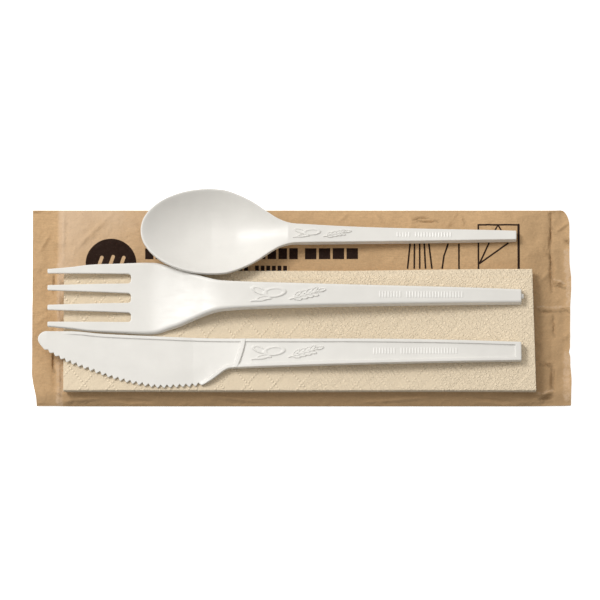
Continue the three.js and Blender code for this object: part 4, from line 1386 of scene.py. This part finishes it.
def paper_fibre():
    """Fibres of paper: long streaks crossed by short hairs, and sparse dark and light flecks."""

    def build(tree, takes):
        place = takes["Place"]
        grain = stretched(tree, place, (0.35, 2.4, 1))
        streaks = noise(tree, grain, times(tree, takes["Scale"], 0.9), 4, 0.62)
        hairs = noise(tree, stretched(tree, place, (0.8, 3.2, 1), 27), takes["Scale"], 3, 0.6)
        cross = noise(tree, stretched(tree, place, (3.2, 0.7, 1), 12), takes["Scale"], 3, 0.6)
        tone = maths(tree, "MULTIPLY_ADD", hairs, 0.3, times(tree, cross, 0.25))
        tone = maths(tree, "MULTIPLY_ADD", streaks, 0.45, tone)
        fleck = noise(tree, stretched(tree, place, (0.9, 2.2, 1), -18), 1.35, 1, 0.4)
        dark = ranged(tree, fleck, 0.66, 0.74)
        light = ranged(tree, fleck, 0.34, 0.27)
        return tone, dark, light, maths(tree, "MULTIPLY_ADD", hairs, 0.6, streaks)

    gives = ("Tone", "Dark fleck", "Light fleck", "Height")
    return group("Paper fibre", build, {"Place": None, "Scale": 1.0}, gives)


def either(tree, masks):
    """The largest of the masks."""
    total = masks[0]
    for mask in masks[1:]:
        total = maths(tree, "MAXIMUM", total, mask)
    return total


# Inputs of the two ink groups, in the order of the numbers below
STROKE_KEYS = ("Start X", "Start Y", "End X", "End Y", "Half width")
ROW_KEYS = ("Left", "Right", "Bottom", "Top", "Pitch", "Gap")
INK_SOFTNESS = 0.09
FOLD_SOFTNESS = 0.35


def ink_stroke():
    """A stroke from start to end: 1 nearer to the segment than half the width, with a soft border.

    The distance is that to start + t (end - start), with t the projection's share from 0 to 1.
    """

    def build(tree, takes):
        axes = split(tree, takes["Place"])
        run = [maths(tree, "SUBTRACT", takes["End " + a], takes["Start " + a]) for a in "XY"]
        gap = [maths(tree, "SUBTRACT", axes[k], takes["Start " + a]) for k, a in enumerate("XY")]
        dot = maths(tree, "MULTIPLY_ADD", gap[0], run[0], times(tree, gap[1], run[1]))
        square = maths(tree, "MULTIPLY_ADD", run[0], run[0], times(tree, run[1], run[1]))
        share = maths(tree, "DIVIDE", dot, maths(tree, "MAXIMUM", square, 1e-4), clamp=True)
        away = [maths(tree, "SUBTRACT", g, times(tree, share, r)) for g, r in zip(gap, run)]
        total = maths(tree, "MULTIPLY_ADD", away[0], away[0], times(tree, away[1], away[1]))
        past = maths(tree, "SUBTRACT", maths(tree, "SQRT", total), takes["Half width"])
        softness = takes["Softness"]
        return [ranged(tree, past, softness, times(tree, softness, -1))]

    takes = {"Place": None, **dict.fromkeys(STROKE_KEYS, 1.0), "Softness": INK_SOFTNESS}
    return group("Ink stroke", build, takes, ("Ink",))


def ink_row():
    """A row of filled blocks: a rectangle with a gap after every pitch along X, from its left end."""

    def build(tree, takes):
        axes = split(tree, takes["Place"])
        past = [
            maths(tree, "SUBTRACT", takes["Left"], axes[0]),
            maths(tree, "SUBTRACT", axes[0], takes["Right"]),
            maths(tree, "SUBTRACT", takes["Bottom"], axes[1]),
            maths(tree, "SUBTRACT", axes[1], takes["Top"]),
        ]
        run = maths(tree, "SUBTRACT", axes[0], takes["Left"])
        along = maths(tree, "FLOORED_MODULO", run, takes["Pitch"])
        solid = maths(tree, "SUBTRACT", takes["Pitch"], takes["Gap"])
        sides = [maths(tree, "SUBTRACT", along, solid), times(tree, along, -1)]
        return [ranged(tree, either(tree, [*past, *sides]), INK_SOFTNESS, -INK_SOFTNESS)]

    return group("Ink row", build, {"Place": None, **dict.fromkeys(ROW_KEYS, 1.0)}, ("Ink",))


def embossed_dots():
    """Lattice of dots, 1 in a dot's middle: the distance to the nearest crossing of both pitches."""

    def build(tree, takes):
        axes = split(tree, takes["Place"])
        away = []
        for axis, pitch in enumerate((takes["Pitch along"], takes["Pitch across"])):
            share = maths(tree, "FRACT", maths(tree, "DIVIDE", axes[axis], pitch))
            away.append(times(tree, maths(tree, "SUBTRACT", share, 0.5), pitch))
        square = maths(tree, "MULTIPLY_ADD", away[0], away[0], times(tree, away[1], away[1]))
        return [ranged(tree, maths(tree, "SQRT", square), takes["Radius"], 0.0)]

    takes = {"Place": None, "Pitch along": 1.0, "Pitch across": 1.0, "Radius": 0.4}
    return group("Embossed dots", build, takes, ("Dot",))


# The print as plain shapes in millimetres: strokes are start x, y, end x, y, half width, and
# rows of blocks are left, right, bottom, top, the blocks' pitch and the gap between them
DISC = (-66.1, 15.35, -66.1, 15.35, 8.8)
DISC_STROKES = (
    (-71.4, 11.5, -69.3, 17.5, 0.6),
    (-67.6, 11.5, -65.4, 17.8, 0.6),
    (-63.8, 11.5, -61.7, 17.5, 0.6),
)
PRINT_STROKES = (
    (36.7, 13.7, 37.55, 22.2, 0.3),
    (39.0, 13.7, 39.1, 22.2, 0.3),
    (40.9, 13.7, 40.9, 22.2, 0.3),
    (42.9, 13.7, 42.5, 22.2, 0.3),
    (45.1, 13.7, 44.1, 22.2, 0.3),
    (50.7, 22.2, 49.3, 18.0, 0.3),
    (49.3, 18.0, 48.7, 13.7, 0.3),
    (54.5, 13.2, 54.5, 22.2, 0.3),
    (61.6, 15.3, 64.9, 22.5, 0.3),
    (61.6, 15.3, 71.5, 22.5, 0.3),
    (61.26, 29.1, 75.2, 29.1, 0.3),
    (61.26, 13.0, 61.26, 29.1, 0.3),
    (75.2, 13.0, 75.2, 29.1, 0.42),
    (66.9, 26.9, 68.1, 29.1, 0.25),
    (68.1, 29.1, 69.3, 26.9, 0.25),
)
PRINT_BLOCKS = (
    (-54.3, -33.1, 16.9, 20.8, 3.65, 0.75),
    (-30.6, -1.2, 16.9, 20.8, 3.75, 0.75),
    (1.1, 19.6, 16.9, 20.8, 4.8, 0.8),
    (-54.3, -30.0, 12.6, 14.3, 1.9, 0.6),
    (-27.8, -18.6, 12.6, 14.3, 1.95, 0.6),
    (-16.2, -4.4, 12.6, 14.6, 1.95, 0.6),
)

# Painted highlights along the lit ridges of the kraft paper's folds, and painted shade in the fold
# hollows, as strokes
PAINTED_HIGHLIGHT_FOLDS = (
    (-82.6, 34.0, -82.8, 15.5, 0.5),
    (-83.8, 15.0, -84.0, -12.0, 0.9),
    (-83.9, -14.0, -83.7, -33.5, 1.2),
    (92.3, 16.6, 92.3, 1.3, 0.7),
    (91.9, 20.0, 91.9, 13.4, 1.0),
    (91.8, -16.5, 91.6, -31.8, 1.1),
    (87.3, 10.1, 91.6, 8.9, 0.35),
    (82.1, -30.4, 86.6, -29.3, 0.5),
    (81.5, 0.2, 93.0, 0.2, 0.3),
)
# Painted shade in the fold hollows
PAINTED_SHADE_FOLDS = (
    (86.7, 33.0, 86.2, 21.0, 0.3),
    (86.2, 21.0, 86.9, 6.0, 0.3),
    (87.4, -3.0, 87.4, -10.0, 0.3),
    (86.8, -21.5, 86.9, -29.0, 0.5),
    (91.4, 24.0, 93.0, 22.8, 0.35),
    (82.1, -32.7, 86.8, -31.7, 0.5),
    (82.6, -20.2, 86.8, -20.9, 0.35),
    (87.6, 7.8, 91.2, 6.9, 0.4),
    (81.6, -1.2, 93.0, -1.3, 0.25),
    (-86.0, 11.5, -86.0, 5.5, 0.35),
    (-86.1, -15.5, -86.0, -22.5, 0.45),
    (38.4, 31.0, 44.0, 31.8, 0.25),
    (40.0, 30.3, 47.6, 30.2, 0.25),
)


def shape_masks(tree, place, node_group, keys, rows, **shared):
    """A mask for each row of numbers, which go to the group's inputs of those keys."""
    inputs = [{"Place": place, **shared, **dict(zip(keys, row))} for row in rows]
    return [placed_group(tree, node_group, values)[0] for values in inputs]


def stroke_masks(tree, place, strokes, softness=INK_SOFTNESS):
    """A mask for each straight stroke."""
    return shape_masks(tree, place, ink_stroke(), STROKE_KEYS, strokes, Softness=softness)


def printed(tree, place):
    """The mask of all inked shapes, with the disc's strokes left bare."""
    bare = either(tree, stroke_masks(tree, place, DISC_STROKES))
    disc = maths(tree, "SUBTRACT", *stroke_masks(tree, place, [DISC]), bare, clamp=True)
    strokes = stroke_masks(tree, place, PRINT_STROKES)
    blocks = shape_masks(tree, place, ink_row(), ROW_KEYS, PRINT_BLOCKS)
    return either(tree, [disc, *strokes, *blocks])


def material(name, build):
    """The material of that name, with its nodes built on first use."""
    found = bpy.data.materials.get(name)
    if found is None:
        found = bpy.data.materials.new(name)
        found.use_nodes = True
        tree = found.node_tree
        tree.nodes.clear()
        shader = add(tree, "BsdfPrincipled", build(tree))
        add(tree, "OutputMaterial", {"Surface": shader.outputs[0]})
    return found


def shaded(colour, share):
    """A colour darkened, or lightened with a share above 1."""
    return (*[channel * share for channel in colour[:3]], 1)


def paled(colour, share):
    """A colour whose distance from white is that share of what it was."""
    return [1 - (1 - channel) * share for channel in colour]


def plastic(settings):
    """Satin white moulded plastic: faint cloudy tone, flow streaks along the piece, fine grain."""

    def build(tree):
        place = millimetres(tree)
        cloud = noise(tree, place, 0.14, 3, 0.55)
        flow = noise(tree, stretched(tree, place, (0.09, 1, 1)), 0.8, 3, 0.55)
        grain = noise(tree, place, 3.2, 3, 0.6)
        scuff = noise(tree, stretched(tree, place, (0.5, 3, 1), 31), 0.7, 4, 0.7)
        tone = ranged(tree, cloud, 0.3, 0.7)
        colour = mixed(tree, tone, shaded(settings.colour, 0.965), settings.colour)
        streak = ranged(tree, flow, 0.55, 0.8, 0, 0.12)
        colour = mixed(tree, streak, colour, shaded(settings.colour, 0.86))
        gloss = maths(tree, "ADD", ranged(tree, flow, 0.3, 0.7, -0.05, 0.05), settings.roughness)
        gloss = maths(tree, "ADD", gloss, ranged(tree, scuff, 0.6, 0.75, 0, 0.12))
        height = maths(tree, "MULTIPLY_ADD", grain, 0.35, times(tree, flow, 0.5))
        bump = add(tree, "Bump", {"Strength": 0.35, "Distance": 0.05 * MM, "Height": height})
        return {
            "Base Color": colour,
            "Roughness": gloss,
            "Normal": bump.outputs[0],
            "IOR": 1.49,
            "Specular IOR Level": 0.5,
        }

    return material("Satin white plastic", build)


# Height in millimetres of the fine crinkles that the mesh is too coarse for
CRINKLE = 0.6
# Shares of the paper's colour: random clouds, the right end's darker tone with painted shade, painted
# shade on the front strip, and painted shade in the fold hollows
CLOUD_SHADE, RIGHT_TONE_AND_PAINTED_SHADE, FRONT_PAINTED_SHADE, FOLD_PAINTED_SHADE = 0.82, 0.74, 0.68, 0.5
# Share of the distance from white kept by the pale patch on the left and by the painted fold highlights
PALE_SHARE = 0.84


def kraft_patches(tree, place, paper):
    """The paper's colour by place: cloudy, darker at the right end in tone and painted shade, pale to
    the left, and painted shade on the front strip.
    """
    fibre = placed_group(tree, paper_fibre(), {"Place": place, "Scale": 1.1})
    tone = ranged(tree, fibre["Tone"], 0.36, 0.64)
    colour = mixed(tree, tone, shaded(paper, 0.88), shaded(paper, 1.1))
    cloud = ranged(tree, noise(tree, place, 0.045, 4, 0.6), 0.35, 0.65, 0, 0.4)
    colour = mixed(tree, cloud, colour, shaded(paper, CLOUD_SHADE))
    axes = split(tree, place)
    toward = maths(tree, "MULTIPLY_ADD", axes[1], -0.25, axes[0])
    patch = maths(tree, "MULTIPLY_ADD", noise(tree, place, 0.11, 3, 0.55), 36, toward)
    # Darker towards the right end, partly the paper's tone and partly painted shade of the end's slope,
    # fading out at the edge
    right_tone_and_shade = times(tree, ranged(tree, patch, 82, 118, 0, 0.8), ranged(tree, axes[0], 92, 89.5))
    colour = mixed(tree, right_tone_and_shade, colour, shaded(paper, RIGHT_TONE_AND_PAINTED_SHADE))
    leftward = maths(tree, "MULTIPLY_ADD", axes[1], -0.5, patch)
    pale = times(tree, ranged(tree, leftward, -40, -92, 0, 0.75), ranged(tree, axes[0], -85.2, -83.6))
    colour = mixed(tree, pale, colour, paled(paper, PALE_SHARE))
    # Painted shade on the front strip, where the pouch slopes down to its fold
    forward = maths(tree, "MULTIPLY_ADD", noise(tree, place, 0.3, 2, 0.5), 2, axes[1])
    front = ranged(tree, forward, -27.5, -32, 0, 0.8)
    return mixed(tree, front, colour, shaded(paper, FRONT_PAINTED_SHADE)), fibre


def painted_fold_light(tree, place, paper, colour):
    """The colour with the painted highlights on the folds' lit ridges and the painted shade in their
    hollows over it, broken up and off the straight.
    """
    wandering = shaken(tree, place, 0.55, 3.0, 2.4, 1.2)
    broken = ranged(tree, noise(tree, place, 0.8, 3, 0.6), 0.34, 0.58, 0.25, 1.0)
    folds = (
        (PAINTED_HIGHLIGHT_FOLDS, 0.5, paled(paper, PALE_SHARE)),
        (PAINTED_SHADE_FOLDS, 0.65, shaded(paper, FOLD_PAINTED_SHADE)),
    )
    # Each stroke table paints its highlight or its shade into the colour
    for strokes, most, fold_painted_light in folds:
        mask = either(tree, stroke_masks(tree, wandering, strokes, FOLD_SOFTNESS))
        colour = mixed(tree, times(tree, mask, times(tree, broken, most)), colour, fold_painted_light)
    return colour


def kraft(settings):
    """Brown kraft paper with its fibres and flecks, painted highlights and shade along its folds,
    painted shade on its front strip, a right end darker in tone and painted shade, printed on the upper
    side.
    """

    def build(tree):
        place = millimetres(tree)
        paper = settings.colour
        colour, fibre = kraft_patches(tree, place, paper)
        colour = painted_fold_light(tree, place, paper, colour)
        colour = mixed(tree, times(tree, fibre["Dark fleck"], 0.35), colour, shaded(paper, 0.62))
        colour = mixed(tree, times(tree, fibre["Light fleck"], 0.25), colour, shaded(paper, 1.25))
        upward = split(tree, add(tree, "NewGeometry").outputs["Normal"])[2]
        worn = times(tree, printed(tree, place), ranged(tree, fibre["Tone"], 0.25, 0.45, 0.8, 1.0))
        mask = times(tree, worn, ranged(tree, upward, 0.2, 0.4))
        wave = noise(tree, stretched(tree, place, (1, 0.8, 1), 24), 0.34, 4, 0.55)
        crinkle = maths(tree, "ABSOLUTE", maths(tree, "SUBTRACT", wave, 0.5))
        fine = times(tree, fibre["Height"], 0.03)
        height = maths(tree, "MULTIPLY_ADD", crinkle, -CRINKLE, fine)
        bump = add(tree, "Bump", {"Strength": 1.0, "Distance": MM, "Height": height})
        return {
            "Base Color": mixed(tree, mask, colour, settings.ink),
            "Roughness": ranged(tree, fibre["Tone"], 0.3, 0.7, 0.64, 0.78),
            "Normal": bump.outputs[0],
            "IOR": 1.45,
            "Specular IOR Level": 0.18,
        }

    return material("Kraft paper", build)


# The dotted diamond lines' angle from X in degrees, and in millimetres the pitch and radius of
# their dots and of the granular embossing's
DIAMOND_ANGLE = 50
LINE_DOT_PITCH, LINE_DOT_RADIUS = 1.15, 0.6
GRAIN_ANGLE = -38
GRAIN_PITCHES, GRAIN_RADIUS = (1.5, 0.95), 0.62


def embossing(tree, place, line_pitch):
    """Raised dots, 0 to 1: in diamond lines to the left and front, granular to the right and back."""
    dots, lines = embossed_dots(), []
    for degrees in (DIAMOND_ANGLE, -DIAMOND_ANGLE):
        along = {"Place": stretched(tree, place, (1, 1, 0), degrees), "Pitch along": LINE_DOT_PITCH}
        across = {"Pitch across": line_pitch, "Radius": LINE_DOT_RADIUS}
        lines.append(placed_group(tree, dots, {**along, **across})[0])
    wandering = stretched(tree, shaken(tree, place, 0.9, 1.0, 2.2), (1, 1, 0), GRAIN_ANGLE)
    pitches = dict(zip(("Pitch along", "Pitch across"), GRAIN_PITCHES))
    granular = placed_group(tree, dots, {"Place": wandering, **pitches, "Radius": GRAIN_RADIUS})[0]
    axes = split(tree, place)
    patch = maths(tree, "MULTIPLY_ADD", axes[0], 0.004, noise(tree, place, 0.09, 2, 0.5))
    dense = ranged(tree, maths(tree, "MULTIPLY_ADD", axes[1], 0.006, patch), 0.3, 0.56)
    worn = ranged(tree, noise(tree, place, 0.45, 2, 0.5), 0.3, 0.42)
    diamonds = times(tree, maths(tree, "MAXIMUM", *lines), worn)
    diamonds = times(tree, diamonds, ranged(tree, dense, 0.8, 0.2, 0.5, 1.0))
    return maths(tree, "MAXIMUM", diamonds, times(tree, times(tree, granular, dense), 0.8))


def tissue(settings):
    """Unbleached tissue: soft fibres, dotted diamonds, granular embossing with painted highlights on
    its raised dots, and fine crepe.
    """

    def build(tree):
        place = millimetres(tree)
        paper = settings.colour
        fibre = placed_group(tree, paper_fibre(), {"Place": place, "Scale": 1.6})
        crepe = noise(tree, stretched(tree, place, (2.6, 0.9, 1)), 1.1, 3, 0.6)
        tone = ranged(tree, fibre["Tone"], 0.34, 0.66)
        colour = mixed(tree, tone, shaded(paper, 0.93), shaded(paper, 1.04))
        cloud = ranged(tree, noise(tree, place, 0.07, 3, 0.55), 0.35, 0.65, 0, 0.35)
        colour = mixed(tree, cloud, colour, shaded(paper, 0.95))
        colour = mixed(tree, times(tree, fibre["Dark fleck"], 0.18), colour, shaded(paper, 0.7))
        raised = embossing(tree, place, settings.quilt_pitch / MM)
        height = maths(tree, "MULTIPLY_ADD", crepe, 1.4, fibre["Height"])
        height = maths(tree, "MULTIPLY_ADD", raised, 2.4, height)
        bump = add(tree, "Bump", {"Strength": 1.0, "Distance": 0.115 * MM, "Height": height})
        return {
            # The raised dots are painted lighter: a painted highlight on the embossing
            "Base Color": mixed(tree, times(tree, raised, 0.8), colour, shaded(paper, 1.26)),
            "Roughness": ranged(tree, fibre["Tone"], 0.3, 0.7, 0.86, 0.96),
            "Normal": bump.outputs[0],
            "Sheen Weight": 0.15,
            "Specular IOR Level": 0.15,
        }

    return material("Unbleached tissue", build)


def pale_floor(settings):
    """A matt white floor that glows a little, so that it stays white under the soft shadow."""

    def build(tree):
        mottle = noise(tree, add(tree, "TexCoord").outputs["Object"], 30.0, 2)
        share = ranged(tree, mottle, 0.3, 0.7, 0, 0.2)
        return {
            "Base Color": mixed(tree, share, settings.floor_colour, (1, 1, 1, 1)),
            "Roughness": 0.9,
            "Specular IOR Level": 0.0,
            "Emission Color": (1, 1, 1, 1),
            "Emission Strength": settings.floor_glow,
        }

    return material("Pale floor", build)


# Stage

FLOOR_REACH = 3
KEY_DIRECTION = (-0.64, 0.4, 1)
KEY_DISTANCE = 1.4
KEY_SIZE = 0.5
KEY_COLOUR = (1, 0.995, 0.985)
SKY_DIRECTION = (-0.35, 0.75, 0.7)
SKY_COLOUR = (1, 0.975, 0.93, 1)
SENSOR_WIDTH = 36
CAMERA_TARGET = (-0.607, 3.05, 0)
CAMERA_CLIP = (0.1, 20)


def aimed(made, place, target):
    """Puts an object into the scene at a place, looking at the target."""
    made.location = place
    made.rotation_euler = (Vector(target) - Vector(place)).to_track_quat("-Z", "Y").to_euler()
    bpy.context.collection.objects.link(made)


def floor_set(settings):
    """The pale floor under the sleeve. It doesn't light the pack from below."""
    mesh = bpy.data.meshes.new("pale_floor")
    signs = ((-1, -1), (1, -1), (1, 1), (-1, 1))
    mesh.from_pydata([(i * FLOOR_REACH, j * FLOOR_REACH, 0) for i, j in signs], [], [(0, 1, 2, 3)])
    mesh.materials.append(pale_floor(settings))
    floor = bpy.data.objects.new("pale_floor", mesh)
    bpy.context.collection.objects.link(floor)
    floor.visible_diffuse = False


def light_set(settings):
    """One soft key light from the back left, in surroundings that are brighter above and behind."""
    key = bpy.data.lights.new("Key light", "AREA")
    key.shape, key.size, key.energy = "DISK", KEY_SIZE, settings.key_power
    key.color = KEY_COLOUR
    direction = Vector(KEY_DIRECTION).normalized()
    aimed(bpy.data.objects.new("Key light", key), direction * KEY_DISTANCE, (0, 0, 0))

    world = bpy.data.worlds.new("White surroundings")
    world.use_nodes = True
    tree = world.node_tree
    toward = add(tree, "TexCoord").outputs["Generated"]
    bright_side = Vector(SKY_DIRECTION).normalized()
    facing = add(tree, "VectorMath", {0: toward, 1: bright_side}, operation="DOT_PRODUCT")
    ends = [settings.surroundings * (1 + side * settings.contrast) for side in (-1, 1)]
    strength = ranged(tree, facing.outputs["Value"], -1, 1, *ends, kind="LINEAR")
    background = tree.nodes["Background"]
    background.inputs["Color"].default_value = SKY_COLOUR
    tree.links.new(strength, background.inputs["Strength"])
    bpy.context.scene.world = world
    bpy.context.scene.view_settings.view_transform = "Standard"


def camera_set(settings):
    """A camera in front of and high above the pack, so far away that it sees it almost square."""
    camera = bpy.data.cameras.new("Camera")
    camera.sensor_width = SENSOR_WIDTH
    distance, tilt = settings.camera_distance, settings.camera_elevation
    camera.lens = SENSOR_WIDTH * distance / settings.view_width
    camera.clip_start, camera.clip_end = CAMERA_CLIP
    target = Vector(CAMERA_TARGET) * MM
    back = Vector((0, -np.cos(tilt), np.sin(tilt)))
    seen = bpy.data.objects.new("Camera", camera)
    aimed(seen, target + back * distance, target)
    bpy.context.scene.camera = seen


# The add-on


def length(name, description, default, **limits):
    return bpy.props.FloatProperty(
        name=name, description=description, default=default, unit="LENGTH", precision=5, **limits
    )


def tint(name, description, default):
    return bpy.props.FloatVectorProperty(
        name=name, description=description, default=(*default, 1), size=4, subtype="COLOR", min=0, max=1
    )


def share_of_one(name, description, default):
    return bpy.props.FloatProperty(
        name=name, description=description, default=default, subtype="FACTOR", min=0, max=1
    )


FULL_CREASES = 0.8


class PlasticSettings(bpy.types.PropertyGroup):
    colour: tint("Plastic colour", "Colour of the moulded plastic", (0.8, 0.785, 0.752))
    roughness: share_of_one("Plastic roughness", "How matt the moulded plastic is", 0.38)
    relief: length("Sprig height", "Height of the leafy relief on the handles", 0.38 * MM, min=0)


class SleeveSettings(bpy.types.PropertyGroup):
    colour: tint("Kraft colour", "Colour of the unprinted kraft paper", (0.568, 0.374, 0.202))
    ink: tint("Ink colour", "Colour of the printed shapes", (0.018, 0.0065, 0.003))
    creases: share_of_one(
        "Creases", "Height of the paper's folds, as a share of the deepest", FULL_CREASES
    )


class NapkinSettings(bpy.types.PropertyGroup):
    colour: tint("Tissue colour", "Colour of the unbleached tissue", (0.81, 0.685, 0.512))
    quilt_pitch: length("Quilt pitch", "Distance between the embossed diagonal lines", 7.2 * MM, min=MM)
    emboss: length("Quilt height", "Height of the pillows between the embossed lines", 0.14 * MM, min=0)


class StageSettings(bpy.types.PropertyGroup):
    floor_colour: tint("Floor colour", "Colour of the pale floor", (0.9, 0.9, 0.9))
    floor_glow: bpy.props.FloatProperty(
        name="Floor glow", description="Light given off by the floor itself", default=0.75, min=0
    )
    key_power: bpy.props.FloatProperty(
        name="Key light", description="Power of the soft key light", default=11, min=0, unit="POWER"
    )
    surroundings: bpy.props.FloatProperty(
        name="Surroundings", description="Brightness of the white surroundings", default=0.43, min=0
    )
    contrast: share_of_one(
        "Contrast", "How much brighter the surroundings are above and behind than in front", 0.8
    )
    camera_elevation: bpy.props.FloatProperty(
        name="Camera elevation",
        description="The camera's height above the horizon as an angle",
        default=np.radians(78),
        subtype="ANGLE",
    )
    camera_distance: length("Camera distance", "Distance from the camera to the pack", 3.0, min=0.5)
    view_width: length("View width", "Width that the camera takes in at the pack", 208 * MM, min=MM)


class CUTLERY_OT_sleeve(bpy.types.Operator):
    """Makes the kraft paper sleeve with its creases and print"""

    bl_idname = "cutlery.sleeve"
    bl_label = "Kraft Paper Sleeve"

    def execute(self, context):
        settings = context.scene.cutlery_sleeve
        made = sleeve_mesh(kraft(settings), settings.creases / FULL_CREASES)
        stood_for(made, "kraft_sleeve")
        return {"FINISHED"}


class CUTLERY_OT_napkin(bpy.types.Operator):
    """Makes the folded napkin on the sleeve"""

    bl_idname = "cutlery.napkin"
    bl_label = "Folded Napkin"

    def execute(self, context):
        settings = context.scene.cutlery_napkin
        made, flat = napkin_mesh(tissue(settings), settings.quilt_pitch / MM, settings.emboss / MM)
        stood_for(made, "napkin")
        return {"FINISHED"}


class CUTLERY_OT_fork(bpy.types.Operator):
    """Makes the moulded fork across the napkin"""

    bl_idname = "cutlery.fork"
    bl_label = "Fork"

    def execute(self, context):
        settings = context.scene.cutlery_plastic
        stood_for(fork_mesh(plastic(settings), settings.relief / MM), "fork")
        return {"FINISHED"}


class CUTLERY_OT_knife(bpy.types.Operator):
    """Makes the moulded knife across the napkin"""

    bl_idname = "cutlery.knife"
    bl_label = "Knife"

    def execute(self, context):
        settings = context.scene.cutlery_plastic
        stood_for(knife_mesh(plastic(settings), settings.relief / MM), "knife")
        return {"FINISHED"}


class CUTLERY_OT_spoon(bpy.types.Operator):
    """Makes the moulded spoon on the bare part of the sleeve"""

    bl_idname = "cutlery.spoon"
    bl_label = "Spoon"

    def execute(self, context):
        settings = context.scene.cutlery_plastic
        stood_for(spoon_mesh(plastic(settings), settings.relief / MM), "spoon")
        return {"FINISHED"}


class CUTLERY_OT_stage(bpy.types.Operator):
    """Makes the floor, the lights and the camera"""

    bl_idname = "cutlery.stage"
    bl_label = "Stage"

    def execute(self, context):
        for made in (floor_set, light_set, camera_set):
            made(context.scene.cutlery_stage)
        return {"FINISHED"}


SETTINGS = {
    "cutlery_plastic": PlasticSettings,
    "cutlery_sleeve": SleeveSettings,
    "cutlery_napkin": NapkinSettings,
    "cutlery_stage": StageSettings,
}
OPERATORS = (
    CUTLERY_OT_sleeve,
    CUTLERY_OT_napkin,
    CUTLERY_OT_fork,
    CUTLERY_OT_knife,
    CUTLERY_OT_spoon,
    CUTLERY_OT_stage,
)


class CUTLERY_PT_panel(bpy.types.Panel):
    """Settings and makers of the cutlery pack"""

    bl_idname = "CUTLERY_PT_panel"
    bl_label = "Disposable Cutlery Pack"
    bl_space_type = "VIEW_3D"
    bl_region_type = "UI"
    bl_category = "Cutlery"

    def draw(self, context):
        for name, kind in SETTINGS.items():
            box = self.layout.box()
            for key in kind.__annotations__:
                box.prop(getattr(context.scene, name), key)
        for operator in OPERATORS:
            self.layout.operator(operator.bl_idname)


def register():
    for made in (*SETTINGS.values(), *OPERATORS, CUTLERY_PT_panel):
        bpy.utils.register_class(made)
    for name, kind in SETTINGS.items():
        setattr(bpy.types.Scene, name, bpy.props.PointerProperty(type=kind))


def unregister():
    for name in SETTINGS:
        delattr(bpy.types.Scene, name)
    for made in reversed((*SETTINGS.values(), *OPERATORS, CUTLERY_PT_panel)):
        bpy.utils.unregister_class(made)


def main():
    register()
    bpy.ops.cutlery.sleeve()
    bpy.ops.cutlery.napkin()
    bpy.ops.cutlery.fork()
    bpy.ops.cutlery.knife()
    bpy.ops.cutlery.spoon()
    bpy.ops.cutlery.stage()


if __name__ == "__main__":
    main()
